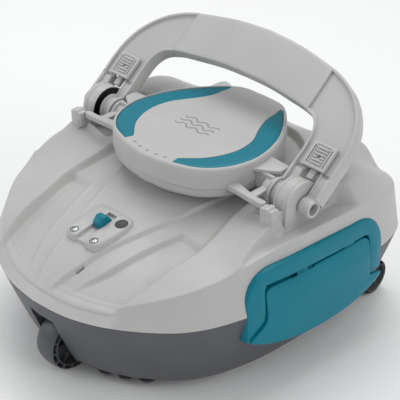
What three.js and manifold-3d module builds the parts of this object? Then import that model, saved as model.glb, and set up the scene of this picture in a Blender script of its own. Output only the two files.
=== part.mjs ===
// Cordless pool floor cleaner. Millimetres, +Z up, front towards -Y, floor at Z = 0.
// Heights and plan positions below are from a point on the floor under the middle of the round motor pod;
// the finished model is moved along Y so that its origin is under the middle of its footprint.
import * as THREE from "three";
import { mergeVertices, toCreasedNormals } from "three/addons/utils/BufferGeometryUtils.js";
import Module from "manifold-3d";

const wasm = await Module();
wasm.setup();

// ---------- Fits ----------
const TOUCH_GAP = 0.3; // between pieces that rest on one another
const RUN_GAP = 0.5; // between a pin and what turns on it
const SWING_GAP = 1.2; // round a flap that swings
const WALL = 3; // moulded wall thickness

// ---------- Body ----------
const FLOOR_CLEARANCE = 13; // underside of the hull above the pool floor
const OUTLET = { r: 12, bore: 9, z: 112 }; // water outlet through the rear wall
const HEM_Z = 94; // parting line between the hull and the top shell
const HULL_DRAFT = 0.85; // hull outline at the bottom over the outline at the hem
const SPOUT_R = 58; // hole in the top shell that takes the pod's neck
// Stations from nose to tail: half width and Y of the shoulder edge, then of the hem.
const OUTLINE = [
  [0, -206, 0, -215],
  [28, -203.6, 27, -212.6],
  [51, -198, 50, -207.5],
  [77, -186, 79, -195],
  [107, -163, 108, -175],
  [131, -133, 132, -152],
  [142, -107, 146, -129],
  [150, -80, 157, -98],
  [155, -48, 165, -58],
  [159, 0, 169, 0],
  [163, 50, 171, 50],
  [163, 90, 169, 95],
  [152, 121, 156, 128],
  [126, 135, 128, 143],
  [80, 139, 80, 147],
  [0, 140, 0, 148],
];
// Height of the crown over the distance behind the front lip.
const CROWN = [
  [0, 102], [11, 110], [26, 118], [41, 124.5], [56, 129.5], [76, 134.5], [98, 138.5],
  [121, 143], [146, 148], [176, 151], [206, 153], [266, 161], [300, 167], [325, 156], [354, 138],
];
const LIP_Y = [[0, -206], [28, -203.6], [50, -198], [77, -186.5], [107, -163], [135, -130], [160, -90]];
// Feature lines over Y: two steps beside the middle panel, the inner wall and the crest of the humps.
const STEP_A = [[-206, 9], [-190, 13], [-175, 18], [-150, 24], [-105, 38], [-50, 54], [20, 66], [140, 70]];
const STEP_B = [[-206, 28], [-190, 31], [-165, 42], [-136, 50], [-105, 58], [-84, 64], [140, 66]];
const HUMP_X = [[-206, 77], [-184, 79], [-156, 85], [-123, 88], [-89, 92], [-38, 86], [0, 86], [60, 100], [140, 112]];
const CREST_X = [[-206, 165], [-120, 156], [-95, 147], [-83, 141], [-41, 139], [38, 139], [80, 140], [140, 128]];
const HUMP_Z = [
  [-206, 104], [-184, 111], [-161, 121], [-130, 130], [-90, 138.5], [-60, 146], [-38, 152],
  [0, 158], [30, 167], [62, 174], [90, 168], [115, 152], [140, 137],
];
const CREST_Z = [
  [-206, 104], [-184, 111], [-161, 121], [-130, 131], [-105, 137], [-83, 147], [-60, 158], [-41, 165],
  [0, 165], [38, 166], [62, 173], [90, 167], [115, 152], [140, 137],
];
const SHOULDER_Z = [
  [-206, 102], [-184, 110], [-161, 121], [-130, 131], [-107, 136.5], [-85, 142], [-60, 147],
  [0, 150], [50, 150], [90, 147], [118, 142], [140, 138],
];
const STEP_A_DROP = 3.5;
const STEP_B_DROP = 4.5;
const STEP_B_END = -82;
const RIDGE_WIDTH = 4; // plan width of a moulded step
const DISH_Z = 158; // highest the shell comes under the motor pod
const BAY = { x: 98, front: -33, rear: 44, z: 150 }; // level floor round the handle hinges

// ---------- Side doors ----------
const DOOR = { front: -94, rear: 82, top: 136, legs: 72, radius: 32 };
const FLAP = { front: -73, rear: 63, top: 115, bottom: 51, radius: 9 };
const SILL_Z = 62; // lower edge of the doorway, behind the flap
const DOOR_PROUD = 0.8; // door frame over the shell
const FRAME_DEPTH = 12;
const FLAP_THICKNESS = 5;
const FLAP_EDGE = 3; // flap thickness along its lower edge
const FLAP_BULGE = 6;
const FLAP_PIN_R = 2.2;

// ---------- Wheels ----------
const FRONT_WHEEL = { r: 30, width: 26, y: -177, axleR: 3 };
const REAR_WHEEL = { r: 20, width: 16, x: 130, y: 122, axleR: 3 };

// ---------- Motor pod ----------
const POD_TOP = 193.9;
const POD_BOTTOM = 161;
const POD_SPLIT = 172; // parting line between its two mouldings
const POD_OUTLINE = [
  [0, -76], [31, -71.5], [59, -60], [77, -40], [85.5, -12], [84, 10], [75, 38], [60, 62], [40, 84],
  [26, 93], [0, 95],
];
const CRESCENT_INNER = [[31, -58], [50, -37], [60, -10], [58, 15], [46, 38], [38, 57], [36, 72], [34, 82]];
const CRESCENT_OUTER = [[33, -67], [57, -57], [74, -38], [82, -12], [80.5, 10], [72, 36], [57.5, 59], [38.5, 81]];
const CRESCENT_DEPTH = 2;
const LAMP_XY = [[-21, -65], [-11, -67.3], [0, -68.2], [11, -67.3], [21, -65]];

// ---------- Handle ----------
const AXIS = { y: -7, z: POD_TOP - 23.9 }; // the arch clears the lid, so its pivot stays a set depth below it
const HANDLE_LEAN = 39; // degrees above the horizontal, towards the rear, at rest
const HANDLE_FACE = 6; // front face over the pivot plane
const HANDLE_BACK = -9;
const LEG = { inner: 111, outer: 158, rail: 13.5 };
const HUB_INNER = { x0: 111, x1: 124.5, r: 15 };
const HUB_OUTER = { x0: 144, x1: 157, r: 8.5 };
const PIVOT_R = 4.5;
const HINGE_BLOCK = { x0: 126, x1: 142.5, r: 22.5 };
const SLIDER = { x0: 122, x1: 147, r0: 33, r1: 58, travel: 7 };

const GRIP_HALF = 91.5;
// Half of the arch's edges from a leg to the middle: X, distance from the pivot, then the way out of the band.
const ARCH_OUTER = [
  [158, 30, 1, 0], [158.5, 50, 1, 0], [156, 72, 0.97, 0.24], [147, 93, 0.85, 0.53], [128, 114, 0.66, 0.75],
  [104, 127, 0.4, 0.92], [74, 134.5, 0.2, 0.98], [38, 140.5, 0.12, 0.99], [0, 143, 0, 1],
];
const ARCH_INNER = [
  [111, 30, 1, 0], [111.5, 52, 1, 0], [110, 66, 0.9, 0.44], [103, 77, 0.6, 0.8], [88, 83, 0.3, 0.95],
  [62, 87, 0.1, 0.99], [32, 90.5, 0.06, 1], [0, 91.5, 0, 1],
];

// ---------- Switch plate ----------
const PLATE = { y: -131, z: 138.8, tilt: 9 };
const PLATE_OUTLINE = [
  [5.8, -24], [8, -26], [18, -26], [22.5, -21], [25, -8], [26, 12], [24, 21], [19, 25],
];
const TOGGLE = { y: 4, half: 7.5, width: 5.4, travel: 3 };
const PLATE_SCREW = { x: 14, y: -19.5, r: 4 };
const PORT = { x: 17, y: 13, r: 6.2 };

// ---------- Materials ----------
const plastic = (color, roughness = 0.5) => new THREE.MeshStandardMaterial({ color, roughness, metalness: 0 });
const SHELL_GREY = plastic("#c2c1bf", 0.55);
const HULL_GREY = plastic("#55575c", 0.6);
const TEAL = plastic("#17869c", 0.4);
const WHEEL_GREY = plastic("#4a4c50", 0.7);
const PORT_GREY = plastic("#5b5c5f", 0.6);
const INNER_GREY = plastic("#8b8d8e", 0.6);
const FILTER_WHITE = plastic("#e4e6e4", 0.8);
const SEAL_BLACK = plastic("#1f2022", 0.8);
const BOARD_GREEN = plastic("#2c6b46", 0.6);
const CELL_BLUE = plastic("#2d4f86", 0.5);
const STEEL = new THREE.MeshStandardMaterial({ color: "#b9bcc0", roughness: 0.3, metalness: 1 });

// ---------- Small tools ----------
const rad = THREE.MathUtils.degToRad;
const mix = THREE.MathUtils.lerp;
const smooth = (t) => THREE.MathUtils.smoothstep(t, 0, 1);

// A smooth curve through [key, value] rows.
function along(rows, key) {
  const last = rows.length - 1;
  const k = THREE.MathUtils.clamp(key, rows[0][0], rows[last][0]);
  let i = 0;
  while (i < last - 1 && k > rows[i + 1][0]) i += 1;
  const slope = (j) => {
    const a = rows[Math.max(j - 1, 0)];
    const b = rows[Math.min(j + 1, last)];
    return (b[1] - a[1]) / (b[0] - a[0]);
  };
  const h = rows[i + 1][0] - rows[i][0];
  const t = (k - rows[i][0]) / h;
  const bend = t * (1 - t) * h;
  const step = t * t * (3 - 2 * t);
  return mix(rows[i][1], rows[i + 1][1], step) + bend * (slope(i) * (1 - t) - slope(i + 1) * t);
}

// A closed body from a run of rings with the same number of points, its two ends filled.
function loft(rings) {
  const n = rings[0].length;
  const points = rings.flat();
  const index = [];
  for (let r = 0; r < rings.length - 1; r += 1) {
    for (let i = 0; i < n; i += 1) {
      const a = r * n + i;
      const b = r * n + ((i + 1) % n);
      // The shorter diagonal, so that both halves of a symmetrical body are cut alike.
      const turn = points[a].distanceTo(points[b + n]) < points[b].distanceTo(points[a + n]) - 1e-4;
      index.push(...(turn ? [a, b, b + n, a, b + n, a + n] : [a, b, a + n, b, b + n, a + n]));
    }
  }
  for (const [ring, turn] of [[0, true], [rings.length - 1, false]]) {
    const centre = rings[ring].reduce((sum, p) => sum.add(p), new THREE.Vector3()).divideScalar(n);
    points.push(centre);
    for (let i = 0; i < n; i += 1) {
      const a = ring * n + i;
      const b = ring * n + ((i + 1) % n);
      index.push(...(turn ? [b, a, points.length - 1] : [a, b, points.length - 1]));
    }
  }
  let volume = 0;
  for (let i = 0; i < index.length; i += 3) {
    const [a, b, c] = [points[index[i]], points[index[i + 1]], points[index[i + 2]]];
    volume += a.dot(new THREE.Vector3().crossVectors(b, c));
  }
  if (volume < 0) index.reverse();
  const geometry = new THREE.BufferGeometry().setFromPoints(points);
  geometry.setIndex(index);
  return geometry;
}

function solid(geometry) {
  const bare = geometry.clone();
  bare.deleteAttribute("normal");
  bare.deleteAttribute("uv");
  const merged = mergeVertices(bare, 1e-4);
  return new wasm.Manifold(
    new wasm.Mesh({
      numProp: 3,
      vertProperties: new Float32Array(merged.attributes.position.array),
      triVerts: new Uint32Array(merged.index.array),
    }),
  );
}

const union = (...solids) => solids.reduce((a, b) => a.add(b));
const cut = (body, ...tools) => tools.reduce((a, b) => a.subtract(b), body);

function box(x0, x1, y0, y1, z0, z1) {
  const g = new THREE.BoxGeometry(x1 - x0, y1 - y0, z1 - z0);
  g.translate((x0 + x1) / 2, (y0 + y1) / 2, (z0 + z1) / 2);
  return solid(g);
}

// A cylinder along an axis, between two stations on it.
function rod(axis, r, from, to, u = 0, v = 0, segments = 32) {
  const g = new THREE.CylinderGeometry(r, r, to - from, segments);
  const middle = (from + to) / 2;
  if (axis === "x") g.rotateZ(Math.PI / 2).translate(middle, u, v);
  if (axis === "y") g.translate(u, middle, v);
  if (axis === "z") g.rotateX(Math.PI / 2).translate(u, v, middle);
  return solid(g);
}

// A flat outline in plan pulled up from z0 to z1.
function prism(points, z0, z1) {
  const shape = new THREE.Shape(points.map(([x, y]) => new THREE.Vector2(x, y)));
  const g = new THREE.ExtrudeGeometry(shape, { depth: z1 - z0, bevelEnabled: false });
  return solid(g.translate(0, 0, z0));
}

// A closed outline with every corner moved out by `by`.
function grown(points, by) {
  const turn = THREE.ShapeUtils.area(points.map(([x, y]) => new THREE.Vector2(x, y))) > 0 ? 1 : -1;
  return points.map(([x, y], i) => {
    const [ax, ay] = points[(i + points.length - 1) % points.length];
    const [bx, by_] = points[(i + 1) % points.length];
    const out = new THREE.Vector2(by_ - ay, ax - bx).normalize().multiplyScalar(turn * by);
    return [x + out.x, y + out.y];
  });
}

// An outline in the YZ plane pulled along X from x0 to x1.
function slab(points, x0, x1) {
  const shape = new THREE.Shape(points.map(([y, z]) => new THREE.Vector2(y, z)));
  const g = new THREE.ExtrudeGeometry(shape, { depth: x1 - x0, bevelEnabled: false });
  g.applyMatrix4(new THREE.Matrix4().set(0, 0, 1, x0, 1, 0, 0, 0, 0, 1, 0, 0, 0, 0, 0, 1));
  return solid(g);
}

// Profile [radius, station] turned round a wheel or drum axis along X or Z.
function turned(profile, axis, place, segments = 40) {
  const g = new THREE.LatheGeometry(profile.map(([r, h]) => new THREE.Vector2(r, h)), segments);
  if (axis === "x") g.rotateZ(-Math.PI / 2);
  if (axis === "z") g.rotateX(Math.PI / 2);
  return solid(g.translate(...place));
}

const root = new THREE.Group();
root.name = "pool_cleaner";

function piece(name, body, material, parent = root, sharp = 32) {
  const made = body.getMesh();
  const g = new THREE.BufferGeometry();
  g.setAttribute("position", new THREE.BufferAttribute(made.vertProperties, 3));
  g.setIndex(new THREE.BufferAttribute(made.triVerts, 1));
  const mesh = new THREE.Mesh(toCreasedNormals(g, rad(sharp)), material);
  mesh.name = name;
  parent.add(mesh);
  return mesh;
}

const SIDES = [["right", 1], ["left", -1]];
const flip = (body, side) => (side > 0 ? body : body.mirror([1, 0, 0]));

// ---------- Body surfaces ----------
const HALF_POINTS = 24;
const curveOf = (x, y) => new THREE.CatmullRomCurve3(OUTLINE.map((row) => new THREE.Vector3(row[x], row[y], 0)));
const sampled = (curve) => Array.from({ length: HALF_POINTS + 1 }, (_, i) => curve.getPoint(i / HALF_POINTS));
const SHOULDER = sampled(curveOf(0, 1));
const HEM = sampled(curveOf(2, 3));
const bothSides = (half) => {
  const mirrored = half.slice(1, -1).reverse();
  return [...half, ...mirrored.map((p) => new THREE.Vector3(-p.x, p.y, p.z))];
};

// 1 on the pod's outline in plan, less inside it.
function podReach(x, y) {
  const [length, power] = y < 0 ? [76, 2] : [95.5, 2.7];
  return ((Math.abs(x) / 86) ** power + (Math.abs(y) / length) ** power) ** (1 / power);
}

// Height of the top shell's outer face.
function shellHeight(x, y) {
  const ax = Math.abs(x);
  const step = (edge, width) => smooth((ax - edge) / width);
  const back = y - along(LIP_Y, ax);
  const fromLip = smooth(back / 12);
  const stepA = STEP_A_DROP * step(along(STEP_A, y), RIDGE_WIDTH) * fromLip;
  const valley = smooth((STEP_B_END - y) / 8) * smooth(back / 45);
  const stepB = STEP_B_DROP * step(along(STEP_B, y), RIDGE_WIDTH) * valley;
  const middle = along(CROWN, back) - stepA - stepB;
  const inner = along(HUMP_X, y);
  const crest = along(CREST_X, y);
  const rise = THREE.MathUtils.clamp((ax - inner) / Math.max(crest - inner, 1), 0, 1);
  const hump = mix(along(HUMP_Z, y), along(CREST_Z, y), rise * rise);
  const soft = smooth((y - 15) / 45);
  const humped = mix(middle, hump, step(inner - 18 * soft, mix(RIDGE_WIDTH, 36, soft)));
  const dome = smooth((y - 40) / 16);
  const open = mix(humped, along(SHOULDER_Z, y), step(crest, mix(RIDGE_WIDTH + 1, 27, dome)));
  const dished = mix(Math.min(open, DISH_Z), open, smooth((podReach(x, y) - 1.02) / 0.06));
  const bay = step(BAY.x, 6) * smooth((y - BAY.front) / 5) * smooth((BAY.rear - y) / 14);
  return mix(dished, Math.min(dished, BAY.z), bay);
}

const SHELL_CENTRE = new THREE.Vector3(0, -20, 0);
const TOP_STEPS = [1, 0.95, 0.9, 0.85, 0.79, 0.72, 0.64, 0.54, 0.42, 0.05];
const UNDER_STEPS = [1, 0.92, 0.82, 0.7, 0.56, 0.42, 0.05];
const topRing = (s, drop, inset = 0) =>
  bothSides(SHOULDER).map((edge) => {
    const p = edge.clone().sub(SHELL_CENTRE);
    p.multiplyScalar(s * (1 - inset / p.length())).add(SHELL_CENTRE);
    return p.setZ(shellHeight(p.x, p.y) - drop);
  });
const hemRing = (z, scale, inset = 0) =>
  bothSides(HEM).map((edge) => {
    const p = edge.clone().multiplyScalar(scale);
    return p.multiplyScalar(1 - inset / p.length()).setZ(z);
  });
const hullScale = (z) => mix(HULL_DRAFT, 1, Math.pow((z - FLOOR_CLEARANCE) / (HEM_Z - FLOOR_CLEARANCE), 0.85));
const hullRing = (z, inset = 0) => hemRing(z, hullScale(z), inset);

const SHELL_BOTTOM = HEM_Z + TOUCH_GAP / 2;
const HULL_TOP = HEM_Z - TOUCH_GAP / 2;
const shellTop = TOP_STEPS.map((s) => topRing(s, 0));
const shellUnder = UNDER_STEPS.map((s) => topRing(s, WALL, WALL)).reverse();
// Solid under the shell's outer face, for trimming what rests on it.
const shellFill = (raise) =>
  solid(loft([hemRing(SHELL_BOTTOM - 30, 0.9), ...TOP_STEPS.map((s) => topRing(s, -raise))]));

// ---------- Side doors ----------
const doorLine = new THREE.CatmullRomCurve3(HEM.filter((p) => p.x > 120).map((p) => p.clone()));
const HEM_X = doorLine.points.map((p) => [p.y, p.x]);
const doorX = (y, z) => along(HEM_X, y) + DOOR_PROUD - 0.12 * Math.max(0, z - HEM_Z);

// An upside-down U from the foot of one leg to the foot of the other, as [y, z] rows.
function archLine(front, rear, foot, top, radius) {
  const rows = [];
  for (let i = 0; i < 2; i += 1) rows.push([front, mix(foot, top - radius, i / 2)]);
  for (let i = 0; i <= 5; i += 1) {
    const a = Math.PI - (i / 5) * (Math.PI / 2);
    rows.push([front + radius + radius * Math.cos(a), top - radius + radius * Math.sin(a)]);
  }
  for (let i = 1; i < 6; i += 1) rows.push([mix(front + radius, rear - radius, i / 6), top]);
  for (let i = 0; i <= 5; i += 1) {
    const a = Math.PI / 2 - (i / 5) * (Math.PI / 2);
    rows.push([rear - radius + radius * Math.cos(a), top - radius + radius * Math.sin(a)]);
  }
  for (let i = 1; i <= 2; i += 1) rows.push([rear, mix(top - radius, foot, i / 2)]);
  return rows;
}

// Above its pin the flap stays inside the sweep radius, and the frame is hollowed to clear that radius.
const HINGE = { x: 161.5, z: 111, barrel: 4, gap: 2.8, sweep: 9 };
const LUGS = [[-42, -34.6], [-19.4, -12], [22, 29.4], [44.6, 52]];
const KNUCKLES = [[0, 1], [2, 3]].map(([i, j]) => [LUGS[i][1] + RUN_GAP, LUGS[j][0] - RUN_GAP]);

function doorFrame() {
  const outer = archLine(DOOR.front, DOOR.rear, DOOR.legs, DOOR.top, DOOR.radius);
  const inner = archLine(
    FLAP.front - SWING_GAP, FLAP.rear + SWING_GAP, DOOR.legs, FLAP.top + HINGE.gap, FLAP.radius + SWING_GAP,
  );
  const rings = outer.map(([y, z], i) => {
    const [v, w] = inner[i];
    return [
      new THREE.Vector3(doorX(y, z), y, z),
      new THREE.Vector3(doorX(v, w), v, w),
      new THREE.Vector3(doorX(v, w) - FRAME_DEPTH, v, w),
      new THREE.Vector3(doorX(y, z) - FRAME_DEPTH, y, z),
    ];
  });
  const lugs = LUGS.map(([a, b]) =>
    rod("y", HINGE.barrel, a, b, HINGE.x, HINGE.z, 20).add(
      box(HINGE.x - HINGE.barrel, HINGE.x + 2.5, a, b, HINGE.z, HINGE.z + HINGE.sweep + 4),
    ),
  );
  const sweep = rod("y", HINGE.sweep + SWING_GAP, FLAP.front, FLAP.rear, HINGE.x, HINGE.z, 40);
  return cut(union(cut(solid(loft(rings)), sweep), ...lugs), flapPin(RUN_GAP / 2));
}

const flapPin = (grow = 0) =>
  rod("y", FLAP_PIN_R + grow, LUGS[0][0] - grow * 4, LUGS[3][1] + grow * 4, HINGE.x, HINGE.z, 20);

function sideFlap() {
  const levels = [0, 0.06, 0.14, 0.21, 0.5, 0.8, 0.95, 1];
  const across = 9;
  const rings = levels.map((w) => {
    const flare = 1 - smooth((w - 0.14) / 0.07);
    const corner = FLAP.radius * (1 - Math.sqrt(Math.max(0, 1 - Math.max(0, (w - 0.88) / 0.12) ** 2)));
    const from = mix(FLAP.front + corner, DOOR.front + 2 + 14 * (1 - smooth(w / 0.14)), flare);
    const to = mix(FLAP.rear - corner, DOOR.rear - 2 - 14 * (1 - smooth(w / 0.14)), flare);
    const face = (depth, i) => {
      const y = mix(from, to, i / across);
      const sag = FLAP.bottom + 8 * (2 * (i / across) - 1) ** 2;
      const z = mix(sag, FLAP.top, w);
      const bulge = FLAP_BULGE * (1 - w) ** 0.7 * Math.sin((Math.PI * (i + 1)) / (across + 2)) ** 0.5;
      return new THREE.Vector3(doorX(y, z) - 1.8 + bulge + 2 * Math.sqrt(1 - w) - depth, y, z);
    };
    const thickness = mix(FLAP_EDGE, FLAP_THICKNESS, smooth(w / 0.4));
    const front = Array.from({ length: across + 1 }, (_, i) => face(0, i));
    const rear = Array.from({ length: across + 1 }, (_, i) => face(thickness, across - i));
    return [...front, ...rear];
  });
  const notches = LUGS.map(([a, b]) => box(HINGE.x - 12, HINGE.x + 16, a - RUN_GAP, b + RUN_GAP, HINGE.z - 6, 130));
  const knuckles = KNUCKLES.map(([a, b]) => rod("y", HINGE.barrel, a, b, HINGE.x, HINGE.z, 20));
  const corner = box(HINGE.x, HINGE.x + 20, DOOR.front, DOOR.rear, HINGE.z, 130).subtract(
    rod("y", HINGE.sweep, DOOR.front, DOOR.rear, HINGE.x, HINGE.z, 40),
  );
  return cut(union(cut(solid(loft(rings)), corner, ...notches), ...knuckles), flapPin(RUN_GAP / 2));
}

// The side opening through the shell and the hull that takes the door frame.
function doorHole() {
  const line = archLine(
    DOOR.front - TOUCH_GAP, DOOR.rear + TOUCH_GAP, SILL_Z, DOOR.top + TOUCH_GAP, DOOR.radius,
  );
  return slab(line, 118, 200);
}
const doorHoles = SIDES.map(([, side]) => flip(doorHole(), side));

// ---------- Hull ----------
// The wells keep their room round each wheel, and their walls follow the wells.
const FRONT_WELL = {
  half: FRONT_WHEEL.width / 2 + 5,
  rear: FRONT_WHEEL.y + FRONT_WHEEL.r + 5,
  top: 2 * FRONT_WHEEL.r + 13,
  wall: WALL,
};
const REAR_WELL = {
  inner: REAR_WHEEL.x - REAR_WHEEL.width / 2 - 4,
  front: REAR_WHEEL.y - REAR_WHEEL.r - 6,
  top: 2 * REAR_WHEEL.r + 6,
  wall: 4,
};
const frontWell = (wall, foot) =>
  box(-FRONT_WELL.half - wall, FRONT_WELL.half + wall, -230, FRONT_WELL.rear + wall, foot, FRONT_WELL.top + wall);
const rearWell = (wall, foot) =>
  box(REAR_WELL.inner - wall, 165, REAR_WELL.front - wall, 160, foot, REAR_WELL.top + Math.min(wall, WALL));
const wheelWell = { front: frontWell(0, -1), rear: rearWell(0, -1) };
const wellWalls = {
  front: frontWell(FRONT_WELL.wall, FLOOR_CLEARANCE),
  rear: rearWell(REAR_WELL.wall, FLOOR_CLEARANCE),
};
const hullFill = solid(loft([FLOOR_CLEARANCE, 18, 30, 50, 72, HULL_TOP].map((z) => hullRing(z))));
const INTAKE = { x: 46, y0: -62, y1: -30 };

function baseHull() {
  const outer = [FLOOR_CLEARANCE + 5, 30, 50, 72, HULL_TOP].map((z) => hullRing(z));
  const inner = [FLOOR_CLEARANCE + WALL, 30, 50, 72, HULL_TOP].map((z) => hullRing(z, WALL)).reverse();
  const keel = hemRing(FLOOR_CLEARANCE, HULL_DRAFT, 5);
  const tub = solid(loft([keel, ...outer, ...inner]));
  const wells = wellWalls.front.add(wellWalls.rear).add(flip(wellWalls.rear, -1)).intersect(hullFill);
  return cut(
    tub.add(wells),
    wheelWell.front,
    wheelWell.rear,
    flip(wheelWell.rear, -1),
    ...doorHoles,
    box(-INTAKE.x, INTAKE.x, INTAKE.y0, INTAKE.y1, 0, 30),
    rod("x", FRONT_WHEEL.axleR + TOUCH_GAP, -20, 20, FRONT_WHEEL.y, FRONT_WHEEL.r, 20),
    rod("x", REAR_WHEEL.axleR + TOUCH_GAP, 110, 150, REAR_WHEEL.y, REAR_WHEEL.r, 20),
    rod("x", REAR_WHEEL.axleR + TOUCH_GAP, -150, -110, REAR_WHEEL.y, REAR_WHEEL.r, 20),
  );
}

const topShell = cut(
  solid(loft([...shellUnder, hemRing(SHELL_BOTTOM, 1, WALL), hemRing(SHELL_BOTTOM, 1), ...shellTop])),
  rod("z", SPOUT_R, 100, 200, 0, 0, 48),
  rod("y", OUTLET.r + TOUCH_GAP, 110, 160, 0, OUTLET.z, 24),
  ...doorHoles,
);

piece("top_shell", topShell, SHELL_GREY);
piece("base_hull", baseHull(), HULL_GREY);
for (const [name, side] of SIDES) {
  piece(`door_frame_${name}`, flip(doorFrame(), side), TEAL);
  piece(`side_flap_${name}`, flip(sideFlap(), side), TEAL);
  piece(`flap_pin_${name}`, flip(flapPin(), side), STEEL);
}

// ---------- Wheels ----------
function wheel({ r, width, axleR }) {
  const h = width / 2;
  const rim = r * 0.78;
  const hub = axleR + RUN_GAP;
  return turned(
    [
      [hub, -h + 4], [hub + 4, -h + 4], [hub + 4, -3], [rim, -3], [rim, -h], [r - 1.5, -h], [r, -h + 2],
      [r, h - 2], [r - 1.5, h], [rim, h], [rim, 3], [hub + 4, 3], [hub + 4, h - 4], [hub, h - 4], [hub, -h + 4],
    ],
    "x",
    [0, 0, 0],
    28,
  );
}
const axle = (r, from, to) => rod("x", r, from, to, 0, 0, 20);

const frontWheels = new THREE.Group();
frontWheels.position.set(0, FRONT_WHEEL.y, FRONT_WHEEL.r);
root.add(frontWheels);
const slot = new THREE.Matrix4();
let frontWheel = wheel(FRONT_WHEEL);
for (let i = 0; i < 10; i += 1) {
  const notch = new THREE.BoxGeometry(FRONT_WHEEL.width + 2, 3, 11).translate(0, FRONT_WHEEL.r * 0.88, 0);
  frontWheel = frontWheel.subtract(
    solid(notch.applyMatrix4(slot.makeRotationX((i / 10) * 2 * Math.PI))).subtract(box(-9, 9, -40, 40, -40, 40)),
  );
}
piece("front_wheel", frontWheel, WHEEL_GREY, frontWheels);
piece("front_axle", axle(FRONT_WHEEL.axleR, -20, 20), STEEL, frontWheels);
for (const [name, side] of SIDES) {
  const group = new THREE.Group();
  group.position.set(side * REAR_WHEEL.x, REAR_WHEEL.y, REAR_WHEEL.r);
  root.add(group);
  piece(`rear_wheel_${name}`, wheel(REAR_WHEEL), WHEEL_GREY, group);
  const h = REAR_WHEEL.width / 2;
  const pin = axle(REAR_WHEEL.axleR, -h - 12, h - 3).add(rod("x", REAR_WHEEL.axleR + 2.5, h - 3.5, h - 1, 0, 0, 20));
  piece(`rear_axle_${name}`, flip(pin, side), STEEL, group);
}

// ---------- Underside ----------
const SKIDS = [[46, -167], [64, -159], [81, -148]];
const skidBar = [[38, -172], [88, -147], [82, -138], [34, -163]];
for (const [name, side] of SIDES) {
  const lobes = SKIDS.map(([x, y]) => turned([[0, 0], [5, 0.6], [8, 3], [9, 5.5], [0, 5.5]], "z", [x, y, 7.2], 14));
  piece(`skid_${name}`, flip(union(prism(skidBar, 10, FLOOR_CLEARANCE - TOUCH_GAP), ...lobes), side), HULL_GREY);
}
const plateSlots = [-36, -18, 0, 18, 36].map((x) => box(x - 6, x + 6, INTAKE.y0 + 4, INTAKE.y1 - 4, 0, 20));
const intakePlate = box(-62, 62, INTAKE.y0 - 14, INTAKE.y1 + 14, 9.7, FLOOR_CLEARANCE - TOUCH_GAP);
piece("intake_grille", cut(intakePlate, ...plateSlots), INNER_GREY);
const VALVE = { y: INTAKE.y1 + 5, z: 20 };
const valveFrame = box(-54, 54, INTAKE.y0 - 6, INTAKE.y1 + 10, 16.3, 18.6);
const valvePosts = [-52, 52].map((x) => box(x - 2, x + 2, VALVE.y - 3, VALVE.y + 3, 18.6, 24));
piece(
  "intake_seat",
  cut(
    union(valveFrame, ...valvePosts),
    box(-INTAKE.x, INTAKE.x, INTAKE.y0, INTAKE.y1, 10, 20),
    rod("x", 1.5 + RUN_GAP / 2, -60, 60, VALVE.y, 21.5, 16),
  ),
  INNER_GREY,
);
const valveLeaf = box(-49, 49, INTAKE.y0 - 3, VALVE.y, 18.9, 20.9);
piece("intake_valve", valveLeaf.add(rod("x", 1.5, -55, 55, VALVE.y, 21.5, 16)), SEAL_BLACK);

// ---------- Filters ----------
for (const [name, side] of SIDES) {
  const tray = cut(
    box(88, 146, -66, 58, 52, 104),
    box(90, 148, -64, 56, 54, 106),
    ...[-50, -25, 0, 25, 50].map((y) => box(80, 92, y - 9, y + 5, 60, 98)),
  );
  piece(`filter_tray_${name}`, flip(tray, side), INNER_GREY);
  piece(`filter_mesh_${name}`, flip(box(90.3, 92, -63.7, 55.7, 54.3, 103), side), FILTER_WHITE);
}

// ---------- Motor pod ----------
const podHalf = new THREE.CatmullRomCurve3(POD_OUTLINE.map(([x, y]) => new THREE.Vector3(x, y, 0)));
const POD_EDGE = bothSides(Array.from({ length: 23 }, (_, i) => podHalf.getPoint(i / 22)));
const podRing = (z, inset) => POD_EDGE.map((p) => p.clone().multiplyScalar(1 - inset / p.length()).setZ(z));
const NECK_R = SPOUT_R - 1;
const neckRing = (z, r) => POD_EDGE.map((p) => p.clone().setLength(r).setZ(z));
const podLower = loft([
  neckRing(128, NECK_R), neckRing(POD_BOTTOM - 2, NECK_R), podRing(POD_BOTTOM, 6), podRing(POD_BOTTOM + 3, 2),
  podRing(POD_SPLIT - TOUCH_GAP, 0.6), podRing(POD_SPLIT - TOUCH_GAP, 4), podRing(POD_BOTTOM + 3, 6),
  neckRing(POD_BOTTOM + 3, NECK_R - 4), neckRing(131, NECK_R - 4),
]);
piece("pod_lower", cut(solid(podLower), rod("z", 10, 120, 140, 0, 0, 28)), SHELL_GREY);
const crescentLine = (inner, outer) => {
  const smoothLine = (rows) =>
    new THREE.CatmullRomCurve3(rows.map(([x, y]) => new THREE.Vector3(x, y, 0))).getPoints(20).map((p) => [p.x, p.y]);
  return [...smoothLine(outer), ...smoothLine(inner).reverse()];
};
const crescentFoot = POD_TOP - CRESCENT_DEPTH;
const crescent = prism(crescentLine(CRESCENT_INNER, CRESCENT_OUTER), crescentFoot, POD_TOP - 0.2);
const crescentSeat = prism(
  grown(crescentLine(CRESCENT_INNER, CRESCENT_OUTER), 1.5 * TOUCH_GAP),
  crescentFoot - TOUCH_GAP,
  POD_TOP + 1,
);
const podUpper = loft([
  podRing(POD_TOP, 60), podRing(POD_TOP, 2.6), podRing(POD_TOP - 0.8, 1), podRing(POD_TOP - 3, 0),
  podRing(POD_SPLIT, 0), podRing(POD_SPLIT, 4), podRing(POD_TOP - 5, 4), podRing(POD_TOP - 5, 60),
]);
const lampHoles = LAMP_XY.map(([x, y]) => rod("z", 1.6, POD_TOP - 8, POD_TOP + 1, x, y, 12));
piece("pod_cover", cut(solid(podUpper), crescentSeat, flip(crescentSeat, -1), ...lampHoles), SHELL_GREY);
for (const [name, side] of SIDES) piece(`crescent_${name}`, flip(crescent, side), TEAL);
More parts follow.
